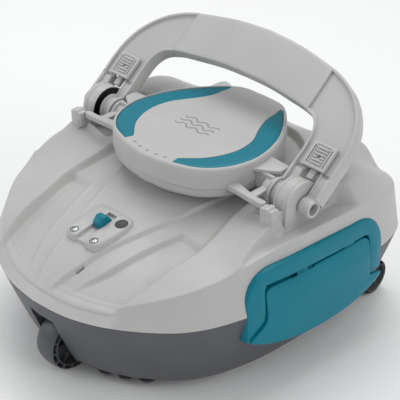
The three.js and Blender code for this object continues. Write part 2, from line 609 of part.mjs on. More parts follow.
const lamps = LAMP_XY.map(([x, y]) => rod("z", 1.3, POD_TOP - 6.3, POD_TOP - 0.4, x, y, 12));
const lampBar = [[-24, -66.5], [-12, -70], [0, -70.8], [12, -70], [24, -66.5], [24, -62], [-24, -62]];
piece("lamp_guide", union(prism(lampBar, POD_TOP - 7.8, POD_TOP - 5.3), ...lamps), FILTER_WHITE);
const sealRing = (z, r0, r1) => turned([[r0, -1], [r1, -1], [r1, 1], [r0, 1], [r0, -1]], "z", [0, 0, z], 32);
piece("pod_seal", sealRing(POD_BOTTOM + 4.3, NECK_R - 3.6, NECK_R + 1), SEAL_BLACK);

// ---------- Inside the pod ----------
const motorTop = 182;
piece("battery_pack", box(-30, 30, 12, 41, 132, motorTop), CELL_BLUE);
piece("control_board", box(-28, 28, -40, -38.4, 132, motorTop), BOARD_GREEN);
piece("motor_can", turned([[0, 0], [17, 0], [17, 44], [5, 46], [5, 48], [0, 48]], "z", [0, -12, 131.3], 32), STEEL);

// ---------- Pump ----------
const PUMP = { top: 127.6, floor: 94, r: 32, inlet: 14 };
const volute = turned(
  [
    [PUMP.inlet, 0], [PUMP.r, 0], [PUMP.r, PUMP.top - PUMP.floor], [PUMP.r - 3, PUMP.top - PUMP.floor],
    [PUMP.r - 3, 3], [PUMP.inlet, 3], [PUMP.inlet, 0],
  ],
  "z",
  [0, 0, PUMP.floor],
  28,
);
const ductHole = rod("y", OUTLET.bore, 20, 160, 0, OUTLET.z, 24);
const duct = cut(rod("y", OUTLET.r, 28, 44, 0, OUTLET.z, 24), rod("z", PUMP.r - 1, 80, 140, 0, 0, 40));
piece("pump_volute", cut(volute.add(duct), ductHole), INNER_GREY);
const blades = Array.from({ length: 6 }, (_, i) =>
  box(3, 24, -1, 1, 101, 117).rotate([0, 0, i * 60]),
);
piece("impeller", union(rod("z", 6, 100, 119, 0, 0, 20), rod("z", 2.2, 119, 131, 0, 0, 16), ...blades), INNER_GREY);
piece("outlet_pipe", cut(rod("y", OUTLET.r, 44.4, 150, 0, OUTLET.z, 24), ductHole), INNER_GREY);

// ---------- Switch plate ----------
const plateGroup = new THREE.Group();
plateGroup.position.set(0, PLATE.y, PLATE.z);
plateGroup.rotation.x = rad(PLATE.tilt);
root.add(plateGroup);
const underPlate = shellFill(TOUCH_GAP).translate([0, -PLATE.y, -PLATE.z]).rotate([-PLATE.tilt, 0, 0]);
const plateRing = [...PLATE_OUTLINE, ...PLATE_OUTLINE.map(([x, y]) => [-x, y]).reverse()];
const plateSlot = box(-TOGGLE.width - RUN_GAP, TOGGLE.width + RUN_GAP, -30, 18, -3.4, 5);
const screwSeats = SIDES.map(([, side]) =>
  union(
    rod("z", PLATE_SCREW.r + TOUCH_GAP, -1.6, 4, side * PLATE_SCREW.x, PLATE_SCREW.y, 20),
    rod("z", 1.6 + TOUCH_GAP, -12, 0, side * PLATE_SCREW.x, PLATE_SCREW.y, 12),
  ),
);
const portSeat = rod("z", PORT.r + TOUCH_GAP, -3, 4, PORT.x, PORT.y, 24);
const switchPlate = cut(prism(plateRing, -10, 0), underPlate, plateSlot, portSeat, ...screwSeats);
piece("switch_plate", switchPlate, SHELL_GREY, plateGroup);
for (const [name, side] of SIDES) {
  const head = turned([[0, -1.3], [3.2, -1.3], [PLATE_SCREW.r, -0.6], [3.4, 0.9], [0, 1.1]], "z", [0, 0, 0], 20);
  const driven = cut(head.add(rod("z", 1.5, -3.6, -1, 0, 0, 12)), box(-2.4, 2.4, -0.5, 0.5, 0.3, 2));
  const screw = piece(`plate_screw_${name}`, driven, STEEL, plateGroup);
  screw.position.set(side * PLATE_SCREW.x, PLATE_SCREW.y, 0);
}
const toggleSide = [[-TOGGLE.half, -3], [TOGGLE.half, -3], [TOGGLE.half, 1], [3, 7.5], [-2, 8.5], [-TOGGLE.half, 3]];
const toggle = slab(toggleSide, -TOGGLE.width, TOGGLE.width).translate([0, TOGGLE.y, 0]);
piece("power_switch", toggle, TEAL, plateGroup);
const plug = turned([[0, -2.6], [PORT.r, -2.6], [PORT.r, 0], [PORT.r - 1, 0.8], [0, 1]], "z", [0, 0, 0], 28);
piece("charging_cap", plug, PORT_GREY, plateGroup).position.set(PORT.x, PORT.y, 0);

// ---------- Handle hinges ----------
const podFill = solid(loft([podRing(POD_BOTTOM - 5, -TOUCH_GAP), podRing(POD_TOP, -TOUCH_GAP)]));
const onAxis = (r, x0, x1, segments = 36) => rod("x", r, x0, x1, AXIS.y, AXIS.z, segments);
const HORN = [[78, -26], [100, -33], [124, -35], [124, -41], [102, -41], [74, -38]];
const FIN = [[80, -16], [107, 0], [108, 14], [80, 16]];
for (const [name, side] of SIDES) {
  const block = union(
    onAxis(HINGE_BLOCK.r, HINGE_BLOCK.x0, HINGE_BLOCK.x1, 36),
    box(HINGE_BLOCK.x0, HINGE_BLOCK.x1, AXIS.y - 22, AXIS.y + 22, 130, AXIS.z),
    box(HINGE_BLOCK.x0 + 2, HINGE_BLOCK.x1 - 4, -48, -24, 130, AXIS.z),
    box(HINGE_BLOCK.x0 - 1, HINGE_BLOCK.x1 - 1, -47, -36, AXIS.z - 10, AXIS.z + 8),
  );
  const bored = cut(block, shellFill(TOUCH_GAP), onAxis(PIVOT_R + TOUCH_GAP, 90, 170));
  piece(`hinge_block_${name}`, flip(bored, side), SHELL_GREY);
  const arm = cut(
    union(
      prism(HORN, AXIS.z + 1, AXIS.z + 7),
      prism(FIN, AXIS.z + 13, AXIS.z + 17),
      onAxis(13, 100, 109.5),
      box(80, 108, AXIS.y - 3, AXIS.y + 3, AXIS.z - 5, AXIS.z + 14),
      box(100.5, 109, -37, AXIS.y, AXIS.z + 2, AXIS.z + 6),
    ),
    podFill,
    shellFill(TOUCH_GAP),
    onAxis(PIVOT_R + TOUCH_GAP, 90, 170),
  );
  piece(`side_arm_${name}`, flip(arm, side), SHELL_GREY);
  piece(`pivot_pin_${name}`, flip(onAxis(PIVOT_R, 101, 151, 28), side), STEEL);
}

// ---------- Handle ----------
const handle = new THREE.Group();
handle.position.set(0, AXIS.y, AXIS.z);
handle.rotation.x = rad(HANDLE_LEAN);
root.add(handle);

const halfArch = (rows, count) => {
  const curve = new THREE.CatmullRomCurve3(rows.map(([x, r]) => new THREE.Vector3(x, r, 0)));
  return curve.getPoints(count).map((p) => [p.x, p.y]);
};
const mirrorBack = (half) => half.slice(0, -1).map(([x, r]) => [-x, r]).reverse();
// The arch between its outer and inner edge, both drawn in by `inset`, from height n0 to n1 over the pivot plane.
function arch(inset, n0, n1) {
  const outer = halfArch(ARCH_OUTER.map(([x, r, nx, nr]) => [x - nx * inset, r - nr * inset]), 20);
  const inner = halfArch(ARCH_INNER.map(([x, r, nx, nr]) => [x + nx * inset, r + nr * inset]), 16);
  return prism([...outer, ...mirrorBack(outer), ...[...inner, ...mirrorBack(inner)].reverse()], n0, n1);
}
const centreBand = box(-GRIP_HALF, GRIP_HALF, 60, 160, -30, 30);
const core = arch(5, -5, 2).intersect(box(-GRIP_HALF - 1, GRIP_HALF + 1, 60, 160, -30, 30));
const gripHole = arch(5 - TOUCH_GAP, -5 - TOUCH_GAP, 2 + TOUCH_GAP);
piece("handle_grip", arch(0, HANDLE_BACK, HANDLE_FACE).intersect(centreBand).subtract(gripHole), SHELL_GREY, handle);

const bothLegs = (body) => body.add(flip(body, -1));
const armBand = bothLegs(box(GRIP_HALF + TOUCH_GAP, 170, -5, 160, -30, 30));
const rails = bothLegs(
  union(
    box(LEG.inner, LEG.inner + LEG.rail, 0, 66, HANDLE_BACK, HANDLE_FACE),
    box(LEG.outer - LEG.rail, LEG.outer, 0, 60, HANDLE_BACK, HANDLE_FACE),
    box(LEG.inner, LEG.outer, 33, 66, HANDLE_BACK, 3),
  ),
);
const hubs = bothLegs(
  union(
    rod("x", HUB_INNER.r, HUB_INNER.x0, HUB_INNER.x1, 0, 0, 36),
    rod("x", HUB_OUTER.r, HUB_OUTER.x0, HUB_OUTER.x1, 0, 0, 32),
  ),
);
const webRecess = arch(3, 3, 20).intersect(bothLegs(box(GRIP_HALF + 2, 160, 62, 160, 0, 20)));
const backRecess = arch(3, -20, -4).intersect(bothLegs(box(GRIP_HALF + 2, 160, 40, 160, -20, 0)));
const SLOT = { x0: 125.6, x1: 143.4, r0: 30, r1: 66, floor: -5.5 };
const sliderSlots = bothLegs(
  union(
    box(SLOT.x0, SLOT.x1, SLOT.r0, SLOT.r1, SLOT.floor, 20),
    box(SLIDER.x0 - RUN_GAP, SLIDER.x1 + RUN_GAP, 31, SLIDER.r1 + SLIDER.travel + 1, 3, 20),
  ),
);
const bores = bothLegs(
  union(
    rod("x", PIVOT_R + RUN_GAP, 100, 151.6, 0, 0, 28),
    rod("x", 5.8, 151.5, 160, 0, 0, 28),
  ),
);
const legs = cut(union(arch(0, HANDLE_BACK, HANDLE_FACE).intersect(armBand), rails), webRecess, backRecess);
piece("handle_frame", cut(union(legs, hubs, core), sliderSlots, bores), SHELL_GREY, handle);

const coil = new THREE.CatmullRomCurve3(
  Array.from({ length: 41 }, (_, i) => {
    const a = (i / 40) * 5 * 2 * Math.PI;
    return new THREE.Vector3(134.5 + 3 * Math.cos(a), 58.2 + (i / 40) * 6.6, -0.8 + 3 * Math.sin(a));
  }),
);
const wire = new THREE.Shape().absarc(0, 0, 0.45, 0, 2 * Math.PI);
const springBody = new THREE.ExtrudeGeometry(wire, { steps: 48, curveSegments: 2, extrudePath: coil });
for (const [name, side] of SIDES) {
  const plateBody = box(SLIDER.x0, SLIDER.x1, SLIDER.r0, SLIDER.r1, 3.4, 8);
  const ribs = [38, 42, 46, 50, 54].map((r) => box(127, 142, r - 0.8, r + 0.8, 7, 9));
  const stem = box(SLOT.x0 + RUN_GAP, SLOT.x1 - RUN_GAP, 35, 57, SLOT.floor + RUN_GAP, 5);
  const tooth = box(131, 138, 24, 36, -3, 3);
  const slits = [124, 144.4].map((x) => box(x, x + 0.8, 36, 55, 6, 10));
  const eye = box(133.2, 135.8, 44, 47, 7.2, 12);
  const slider = cut(union(plateBody, ...ribs, stem, tooth), ...slits, eye);
  piece(`latch_slider_${name}`, flip(slider, side), SHELL_GREY, handle);
  piece(`latch_spring_${name}`, flip(solid(springBody), side), STEEL, handle);
}

const footprint = new THREE.Box3().setFromObject(root);
root.position.y = -(footprint.min.y + footprint.max.y) / 2;

export default root;
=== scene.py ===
import math

import bmesh
import bpy
import numpy as np
from mathutils import Matrix, Vector


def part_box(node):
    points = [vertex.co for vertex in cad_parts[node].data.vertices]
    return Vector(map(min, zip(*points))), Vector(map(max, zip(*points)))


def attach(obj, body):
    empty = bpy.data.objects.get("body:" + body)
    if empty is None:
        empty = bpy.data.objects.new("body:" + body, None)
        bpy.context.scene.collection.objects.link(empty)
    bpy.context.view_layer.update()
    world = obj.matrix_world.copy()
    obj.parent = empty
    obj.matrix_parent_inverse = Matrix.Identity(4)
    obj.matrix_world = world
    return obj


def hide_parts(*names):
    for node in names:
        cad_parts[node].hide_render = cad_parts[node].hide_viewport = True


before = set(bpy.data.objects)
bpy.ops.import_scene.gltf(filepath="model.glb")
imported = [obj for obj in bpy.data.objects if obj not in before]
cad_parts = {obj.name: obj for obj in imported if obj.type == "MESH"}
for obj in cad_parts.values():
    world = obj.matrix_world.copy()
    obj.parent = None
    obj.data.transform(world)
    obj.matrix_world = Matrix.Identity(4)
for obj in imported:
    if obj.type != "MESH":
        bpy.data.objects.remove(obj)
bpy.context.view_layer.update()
print("frame loaded:", len(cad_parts), "nodes")

# Sizes below are in millimetres, measured from the floor under the middle of the motor pod.
# The front axle is 177 ahead of that point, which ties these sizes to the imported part.
mm = 0.001
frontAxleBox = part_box("front_wheel")
podShift = (frontAxleBox[0][1] + frontAxleBox[1][1]) / 2 + 177 * mm
bothHands = (("right", 1), ("left", -1))


def smooth(t):
    t = np.clip(t, 0.0, 1.0)
    return t * t * (3 - 2 * t)


def mix(a, b, t):
    return a + (b - a) * t


def along(rows, key):  # a smooth curve through [key, value] rows
    rows = np.asarray(rows, float)
    at, value = rows[:, 0], rows[:, 1]
    last = len(at) - 1
    key = np.clip(key, at[0], at[-1])
    i = np.clip(np.searchsorted(at, key, side="right") - 1, 0, last - 1)

    def slope(j):
        before, after = np.maximum(j - 1, 0), np.minimum(j + 1, last)
        return (value[after] - value[before]) / (at[after] - at[before])

    span = at[i + 1] - at[i]
    t = (key - at[i]) / span
    bend = t * (1 - t) * span * (slope(i) * (1 - t) - slope(i + 1) * t)
    return mix(value[i], value[i + 1], t * t * (3 - 2 * t)) + bend


def throughPoints(points, steps=12):  # centripetal, so tight corners don't loop
    p = np.asarray(points, float)
    p = np.vstack([2 * p[0] - p[1], p, 2 * p[-1] - p[-2]])
    line = []
    for a, b, c, d in zip(p, p[1:], p[2:], p[3:]):
        ga, gb, gc = (max(np.linalg.norm(v) ** 0.5, 1e-6) for v in (b - a, c - b, d - c))
        leave = ((b - a) / ga - (c - a) / (ga + gb) + (c - b) / gb) * gb
        arrive = ((c - b) / gb - (d - b) / (gb + gc) + (d - c) / gc) * gb
        for t in np.linspace(0, 1, steps, endpoint=False):
            u, v = t * t, t * t * t
            line.append(
                b * (2 * v - 3 * u + 1) + leave * (v - 2 * u + t) + c * (3 * u - 2 * v) + arrive * (v - u)
            )
    return np.array(line + [p[-2]])


def evenly(line, count, closed=False):
    line = np.asarray(line, float)
    if closed:
        line = np.vstack([line, line[:1]])
    reach = np.concatenate([[0], np.cumsum(np.linalg.norm(np.diff(line, axis=0), axis=1))])
    where = np.linspace(0, reach[-1], count, endpoint=not closed)
    return np.column_stack([np.interp(where, reach, line[:, k]) for k in range(line.shape[1])])


def bothSides(half):  # closed outline from its half on the +X side
    half = np.asarray(half, float)
    return np.vstack([half, half[-2:0:-1] * [-1, 1]])


def offset(outline, by):  # closed outline with each point moved out along its normal
    outline = np.asarray(outline, float)
    run = np.roll(outline, -1, axis=0) - np.roll(outline, 1, axis=0)
    out = np.column_stack([run[:, 1], -run[:, 0]])
    out /= np.maximum(np.linalg.norm(out, axis=1, keepdims=True), 1e-9)
    area = np.sum(outline[:, 0] * np.roll(outline[:, 1], -1) - np.roll(outline[:, 0], -1) * outline[:, 1])
    return outline + out * by * (1 if area > 0 else -1)


def softened(corners, radius, steps=4):  # corners of a closed polygon rounded off
    corners = np.asarray(corners, float)
    line = []
    for a, b, c in zip(np.roll(corners, 1, axis=0), corners, np.roll(corners, -1, axis=0)):
        back, on = a - b, c - b
        r = min(radius, 0.45 * np.linalg.norm(back), 0.45 * np.linalg.norm(on))
        start, end = b + back / np.linalg.norm(back) * r, b + on / np.linalg.norm(on) * r
        for t in np.linspace(0, 1, steps + 1):
            line.append(mix(mix(start, b, t), mix(b, end, t), t))
    return np.array(line)


def loft(rings, around=True, ends="open"):
    rings = np.asarray(rings, float)
    count, n = rings.shape[:2]
    grid = np.arange(count * n).reshape(count, n)
    rows = np.vstack([grid, grid[:1]]) if ends == "join" else grid
    right = np.roll(rows, -1, axis=1)
    quads = np.stack([rows[:-1], right[:-1], right[1:], rows[1:]], axis=-1)
    faces = (quads if around else quads[:, :-1]).reshape(-1, 4).tolist()
    if ends == "cap":
        faces += [grid[0][::-1].tolist(), grid[-1].tolist()]
    return rings.reshape(-1, 3), faces


def solid(verts, faces, bevel=0.0, steps=2, sharp=30):
    bm = bmesh.new()
    made = [bm.verts.new(v) for v in np.asarray(verts, float)]
    for face in faces:
        bm.faces.new([made[i] for i in face])
    bmesh.ops.remove_doubles(bm, verts=bm.verts, dist=1e-4)
    bmesh.ops.recalc_face_normals(bm, faces=bm.faces)
    if bevel:
        limit = math.radians(sharp)
        edges = [e for e in bm.edges if e.is_manifold and e.calc_face_angle() > limit]
        bmesh.ops.bevel(bm, geom=edges, offset=bevel, segments=steps, profile=0.5, affect="EDGES",
            clamp_overlap=True)
    return bm


def plate(outline, low, high, bevel=0.0, steps=2, sharp=30):  # outline in plan pulled from low to high
    outline = np.asarray(outline, float)
    rings = [np.column_stack([outline, np.full(len(outline), z)]) for z in (low, high)]
    return solid(*loft(rings, ends="cap"), bevel, steps, sharp)


def block(x, y, z, bevel=0.0, steps=2):
    return plate([(x[0], y[0]), (x[1], y[0]), (x[1], y[1]), (x[0], y[1])], z[0], z[1], bevel, steps)


# [radius, station] rows turned round an axis
def turned(profile, place=(0, 0, 0), axis="z", count=64, closed=True):
    angle = np.linspace(0, 2 * math.pi, count, endpoint=False)
    rings = []
    for r, h in profile:
        rings.append(np.column_stack([r * np.cos(angle), r * np.sin(angle), np.full(count, h)]))
    bm = solid(*loft(rings, ends="join" if closed else "cap"))
    turn = {"z": Matrix.Identity(4), "x": Matrix.Rotation(math.pi / 2, 4, "Y"),
        "y": Matrix.Rotation(-math.pi / 2, 4, "X")}
    return moved(bm, Matrix.Translation(place) @ turn[axis])


def drum(r, start, end, place=(0, 0, 0), axis="x", bevel=0.6, count=56):
    b = min(bevel, r * 0.5, (end - start) * 0.45)
    rows = [(r - b, start), (r - b * 0.3, start + b * 0.3), (r, start + b), (r, end - b),
        (r - b * 0.3, end - b * 0.3), (r - b, end)]
    return turned(rows, place, axis, count, closed=False)


def moved(bm, matrix):
    bmesh.ops.transform(bm, matrix=matrix, verts=bm.verts)
    return bm


def mirrored(bm):
    other = bm.copy()
    bmesh.ops.scale(other, vec=(-1, 1, 1), verts=other.verts)
    bmesh.ops.reverse_faces(other, faces=other.faces)
    return other


def handed(bm, side):
    return bm if side > 0 else mirrored(bm)


def joined(parts):
    whole = bmesh.new()
    for part in parts:
        mesh = bpy.data.meshes.new("part")
        part.to_mesh(mesh)
        whole.from_mesh(mesh)
        bpy.data.meshes.remove(mesh)
    return whole


def looseObject(name, bm):
    mesh = bpy.data.meshes.new(name)
    bm.to_mesh(mesh)
    mesh.transform(Matrix.Scale(mm, 4))
    obj = bpy.data.objects.new(name, mesh)
    bpy.context.scene.collection.objects.link(obj)
    return obj


def applied(obj):  # its modifiers become plain mesh
    bpy.context.view_layer.update()
    made = bpy.data.meshes.new_from_object(obj.evaluated_get(bpy.context.evaluated_depsgraph_get()))
    obj.modifiers.clear()
    obj.data = made
    return obj


def taken(obj):  # its mesh back as an editable one in millimetres, the object gone
    bm = bmesh.new()
    bm.from_mesh(obj.data)
    bmesh.ops.scale(bm, vec=(1 / mm, 1 / mm, 1 / mm), verts=bm.verts)
    bpy.data.objects.remove(obj)
    return bm


def carve(obj, tools, solver="EXACT", operation="DIFFERENCE"):
    for tool in tools:
        cutter = looseObject("cutter", tool)
        cut = obj.modifiers.new("cut", "BOOLEAN")
        cut.operation = operation
        cut.solver = solver
        cut.object = cutter
        applied(obj)
        bpy.data.objects.remove(cutter)
    return obj


def piece(name, parts, finish, body="body", stands=(), cuts=(), sharp=32, solver="EXACT"):
    obj = looseObject(name, joined(parts) if isinstance(parts, list) else parts)
    carve(obj, cuts, solver)
    obj.data.transform(Matrix.Translation((0, podShift, 0)))
    obj.data.materials.clear()
    obj.data.materials.append(finish["material"])
    obj.data.shade_smooth()
    obj.data.set_sharp_from_angle(angle=math.radians(sharp))
    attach(obj, body)
    if stands:
        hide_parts(*stands)
    return obj


def colour(value):  # sRGB hex to linear
    parts = [int(value[i : i + 2], 16) / 255 for i in (1, 3, 5)]
    return [p / 12.92 if p <= 0.04045 else ((p + 0.055) / 1.055) ** 2.4 for p in parts] + [1.0]


def addNode(tree, kind, sockets=None, **settings):
    made = tree.nodes.new(kind)
    for name, value in settings.items():
        setattr(made, name, value)
    for name, value in (sockets or {}).items():
        if isinstance(value, bpy.types.NodeSocket):
            tree.links.new(value, made.inputs[name])
        else:
            made.inputs[name].default_value = value
    return made


def blank(name):
    material = bpy.data.materials.new(name)
    material.use_nodes = True
    material.node_tree.nodes.clear()
    return material, material.node_tree


def noise(tree, where, size, detail=2.0, rough=0.5):  # blotches about `size` millimetres across
    texture = addNode(tree, "ShaderNodeTexNoise",
        {"Vector": where, "Scale": 1000 / size, "Detail": detail, "Roughness": rough})
    return texture.outputs["Fac"]


def spread(tree, value, low, high, start=0.3, end=0.7):
    ranged = addNode(tree, "ShaderNodeMapRange",
        {"Value": value, "From Min": start, "From Max": end, "To Min": low, "To Max": high})
    return ranged.outputs["Result"]


def blended(tree, share, first, second):
    made = addNode(tree, "ShaderNodeMix", {"Factor": share}, data_type="RGBA")
    for socket, value in ((made.inputs[6], first), (made.inputs[7], second)):
        if isinstance(value, bpy.types.NodeSocket):
            tree.links.new(value, socket)
        else:
            socket.default_value = value
    return made.outputs[2]


def product(tree, a, b, operation="MULTIPLY"):
    made = addNode(tree, "ShaderNodeMath", {0: a, 1: b}, operation=operation)
    return made.outputs[0]


# Injection-moulded plastic: a flat colour with faint flow clouds, a fine spark-eroded grain,
# handling smudges in the gloss, paler edges that are partly worn plastic and partly a painted highlight
# along every edge, and grime low down where it meets the pool floor.
def mouldedPlastic(name, slot, look):
    material, tree = blank(name)
    where = addNode(tree, "ShaderNodeTexCoord").outputs["Object"]
    base = colour(look["colour"])
    cloud = spread(tree, noise(tree, where, look["cloudSize"], 3.0), 0, 1)
    tint = blended(tree, cloud, base, colour(look["cloudColour"]))
    # Edges are painted paler: partly real wear, partly a painted highlight standing in for light catching the
    # edges.
    if look.get("edgeWearAndHighlight"):
        soft = addNode(tree, "ShaderNodeBevel", {"Radius": look["edge"] * mm}, samples=4).outputs["Normal"]
        flat = addNode(tree, "ShaderNodeNewGeometry").outputs["Normal"]
        bend = addNode(tree, "ShaderNodeVectorMath", {0: soft, 1: flat},
            operation="DOT_PRODUCT").outputs["Value"]
        edge = spread(tree, bend, look["edgeWearAndHighlight"], 0, 0.86, 0.995)
        scratch = spread(tree, noise(tree, where, 9, 4.0), 0.35, 1)
        tint = blended(tree, product(tree, edge, scratch), tint, colour(look["edgeWearAndHighlightColour"]))
    if look.get("grime"):
        height = addNode(tree, "ShaderNodeSeparateXYZ", {0: where}).outputs["Z"]
        low = spread(tree, height, look["grime"], 0, 0.0, look["grimeTop"] * mm)
        patchy = spread(tree, noise(tree, where, 14, 5.0, 0.65), 0.2, 1, 0.35, 0.65)
        tint = blended(tree, product(tree, low, patchy), tint, colour(look["grimeColour"]))
    grain = noise(tree, where, look["grain"], 2.0)
    ripple = noise(tree, where, 45, 1.0)
    relief = addNode(tree, "ShaderNodeBump",
        {"Height": ripple, "Strength": 0.5, "Distance": look["ripple"] * mm})
    relief = addNode(
        tree, "ShaderNodeBump",
        {"Height": grain, "Strength": 0.7, "Distance": look["depth"] * mm, "Normal": relief.outputs[0]}
    )
    smudge = noise(tree, where, 30, 4.0, 0.6)
    rough = spread(tree, smudge, look["rough"] - look["roughSpread"], look["rough"] + look["roughSpread"])
    shader = addNode(
        tree,
        "ShaderNodeBsdfPrincipled",
        {
            "Base Color": tint,
            "Roughness": rough,
            "Normal": relief.outputs[0],
            "IOR": look["ior"],
            "Specular IOR Level": look.get("specular", 0.5),
            "Coat Weight": look.get("coat", 0.0),
            "Coat Roughness": 0.12,
            "Subsurface Weight": look.get("scatter", 0.0),
            "Subsurface Radius": (0.8 * mm, 0.8 * mm, 0.8 * mm),
            "Transmission Weight": look.get("clear", 0.0),
        },
    )
    addNode(tree, "ShaderNodeOutputMaterial", {"Surface": shader.outputs[0]})
    return {"material": material, "slot": slot}


# Turned or stamped steel: near-white metal with fine turning lines and a little uneven gloss.
def brushedSteel(name, slot, look):
    material, tree = blank(name)
    where = addNode(tree, "ShaderNodeTexCoord").outputs["Object"]
    lines = addNode(tree, "ShaderNodeMapping", {"Vector": where, "Scale": (1, 9, 9)}).outputs[0]
    streak = noise(tree, lines, look["line"], 3.0)
    tint = blended(tree, spread(tree, streak, 0, 1), colour(look["colour"]), colour(look["dark"]))
    relief = addNode(tree, "ShaderNodeBump", {"Height": streak, "Strength": 0.4, "Distance": 0.02 * mm})
    rough = spread(tree, noise(tree, where, 3, 3.0), look["rough"] - 0.08, look["rough"] + 0.1)
    shader = addNode(
        tree, "ShaderNodeBsdfPrincipled",
        {"Base Color": tint, "Metallic": 1.0, "Roughness": rough, "Normal": relief.outputs[0]}
    )
    addNode(tree, "ShaderNodeOutputMaterial", {"Surface": shader.outputs[0]})
    return {"material": material, "slot": slot}


# Woven nylon screen: crossing threads with the openings between painted dark as painted shade, a little silt
# caught in it.
def wovenScreen(name, slot, look):
    material, tree = blank(name)
    where = addNode(tree, "ShaderNodeTexCoord").outputs["Object"]
    axes = addNode(tree, "ShaderNodeSeparateXYZ", {0: where})
    threads = []
    for axis in ("Y", "Z"):
        turn = product(tree, axes.outputs[axis], 2 * math.pi / (look["pitch"] * mm))
        threads.append(spread(tree, product(tree, turn, 0, "SINE"), 0, 1, -0.6, 0.6))
    weave = product(tree, threads[0], threads[1], "MAXIMUM")
    silt = spread(tree, noise(tree, where, 18, 5.0), 0, look["silt"], 0.45, 0.75)
    # The openings between threads get a dark grey: painted shade standing in for the dim space behind the
    # screen.
    tint = blended(tree, weave, colour(look["gap"]), colour(look["colour"]))
    tint = blended(tree, silt, tint, colour(look["siltColour"]))
    relief = addNode(tree, "ShaderNodeBump", {"Height": weave, "Strength": 0.8, "Distance": 0.2 * mm})
    rough = spread(tree, silt, 0.6, 0.85, 0, 1)
    shader = addNode(tree, "ShaderNodeBsdfPrincipled",
        {"Base Color": tint, "Roughness": rough, "Normal": relief.outputs[0]})
    addNode(tree, "ShaderNodeOutputMaterial", {"Surface": shader.outputs[0]})
    return {"material": material, "slot": slot}


# Moulded grain is taken as about 0.1 mm, and is drawn ten times coarser so that it shows at arm's length.
plasticGrain = {"cloudSize": 60, "grain": 1.1, "depth": 0.016, "ripple": 0.05, "ior": 1.53}
shellGrey = mouldedPlastic(
    "mouldedAbsLightGrey",
    "shell_grey_abs",
    {**plasticGrain, "colour": "#bfbfbd", "cloudColour": "#b8b8b6", "rough": 0.44, "roughSpread": 0.05,
        "edgeWearAndHighlight": 0.5, "edge": 0.9, "edgeWearAndHighlightColour": "#dcdcda", "scatter": 0.05},
)
markGrey = mouldedPlastic(
    "mouldedAbsEmbossedMark",
    "shell_grey_abs",
    {**plasticGrain, "colour": "#8f908f", "cloudColour": "#868786", "rough": 0.5, "roughSpread": 0.05},
)
hullGrey = mouldedPlastic(
    "mouldedAbsSlateGrey",
    "hull_grey_abs",
    {**plasticGrain, "colour": "#55565b", "cloudColour": "#4f5055", "rough": 0.5, "roughSpread": 0.06,
        "cloudSize": 45,
        "edgeWearAndHighlight": 0.35, "edge": 0.8, "edgeWearAndHighlightColour": "#7b7c80", "grime": 0.35, "grimeTop": 45,
        "grimeColour": "#6f6e69"},
)
teal = mouldedPlastic(
    "mouldedAbsTealGloss",
    "teal_abs",
    {**plasticGrain, "colour": "#007c90", "cloudColour": "#007588", "rough": 0.38, "roughSpread": 0.05,
        "specular": 0.22, "grain": 1.4,
        "depth": 0.006, "coat": 0.06, "edgeWearAndHighlight": 0.4, "edge": 0.7, "edgeWearAndHighlightColour": "#2f97a9"},
)
wheelGrey = mouldedPlastic(
    "mouldedPolypropyleneWheel",
    "wheel_rubber",
    {**plasticGrain, "colour": "#4d4f53", "cloudColour": "#46484c", "rough": 0.42, "roughSpread": 0.08,
        "cloudSize": 20,
        "edgeWearAndHighlight": 0.5, "edge": 0.8, "edgeWearAndHighlightColour": "#77797d", "grime": 0.4, "grimeTop": 30,
        "grimeColour": "#6b6a66"},
)
innerGrey = mouldedPlastic(
    "mouldedPolypropyleneInner",
    "inner_grey_pp",
    {**plasticGrain, "colour": "#85878a", "cloudColour": "#7c7e81", "rough": 0.5, "roughSpread": 0.08,
        "edgeWearAndHighlight": 0.3,
        "edge": 0.6, "edgeWearAndHighlightColour": "#a5a7aa"},
)
portGrey = mouldedPlastic(
    "mouldedRubberPlug",
    "port_rubber",
    {**plasticGrain, "colour": "#4e4f51", "cloudColour": "#434446", "rough": 0.6, "roughSpread": 0.06,
        "cloudSize": 6, "depth": 0.03},
)
sealBlack = mouldedPlastic(
    "mouldedEpdmSeal",
    "seal_epdm",
    {**plasticGrain, "colour": "#1c1d1f", "cloudColour": "#26272a", "rough": 0.72, "roughSpread": 0.08,
        "cloudSize": 15, "depth": 0.03, "ior": 1.5},
)
lampClear = mouldedPlastic(
    "clearAcrylicLightGuide",
    "lamp_clear",
    {**plasticGrain, "colour": "#e4e8e6", "cloudColour": "#d8dedd", "rough": 0.16, "roughSpread": 0.04,
        "clear": 0.55, "ior": 1.49},
)
cellWrap = mouldedPlastic(
    "shrunkPvcBatteryWrap",
    "battery_wrap",
    {**plasticGrain, "colour": "#2d4f86", "cloudColour": "#284878", "rough": 0.28, "roughSpread": 0.06,
        "ripple": 0.3},
)
boardGreen = mouldedPlastic(
    "lacqueredFibreglassBoard",
    "board_green",
    {**plasticGrain, "colour": "#24603d", "cloudColour": "#1f5535", "rough": 0.3, "roughSpread": 0.08,
        "cloudSize": 7, "grain": 2.5, "depth": 0.05},
)
steel = brushedSteel("stainlessSteelTurned", "stainless_steel",
    {"colour": "#c8cacc", "dark": "#a4a7aa", "line": 1.2, "rough": 0.26})
screen = wovenScreen(
    "wovenNylonScreen", "filter_white",
    {"colour": "#dfe1de", "gap": "#70736f", "pitch": 1.6, "silt": 0.35, "siltColour": "#9a9382"}
)
print("finishes made")


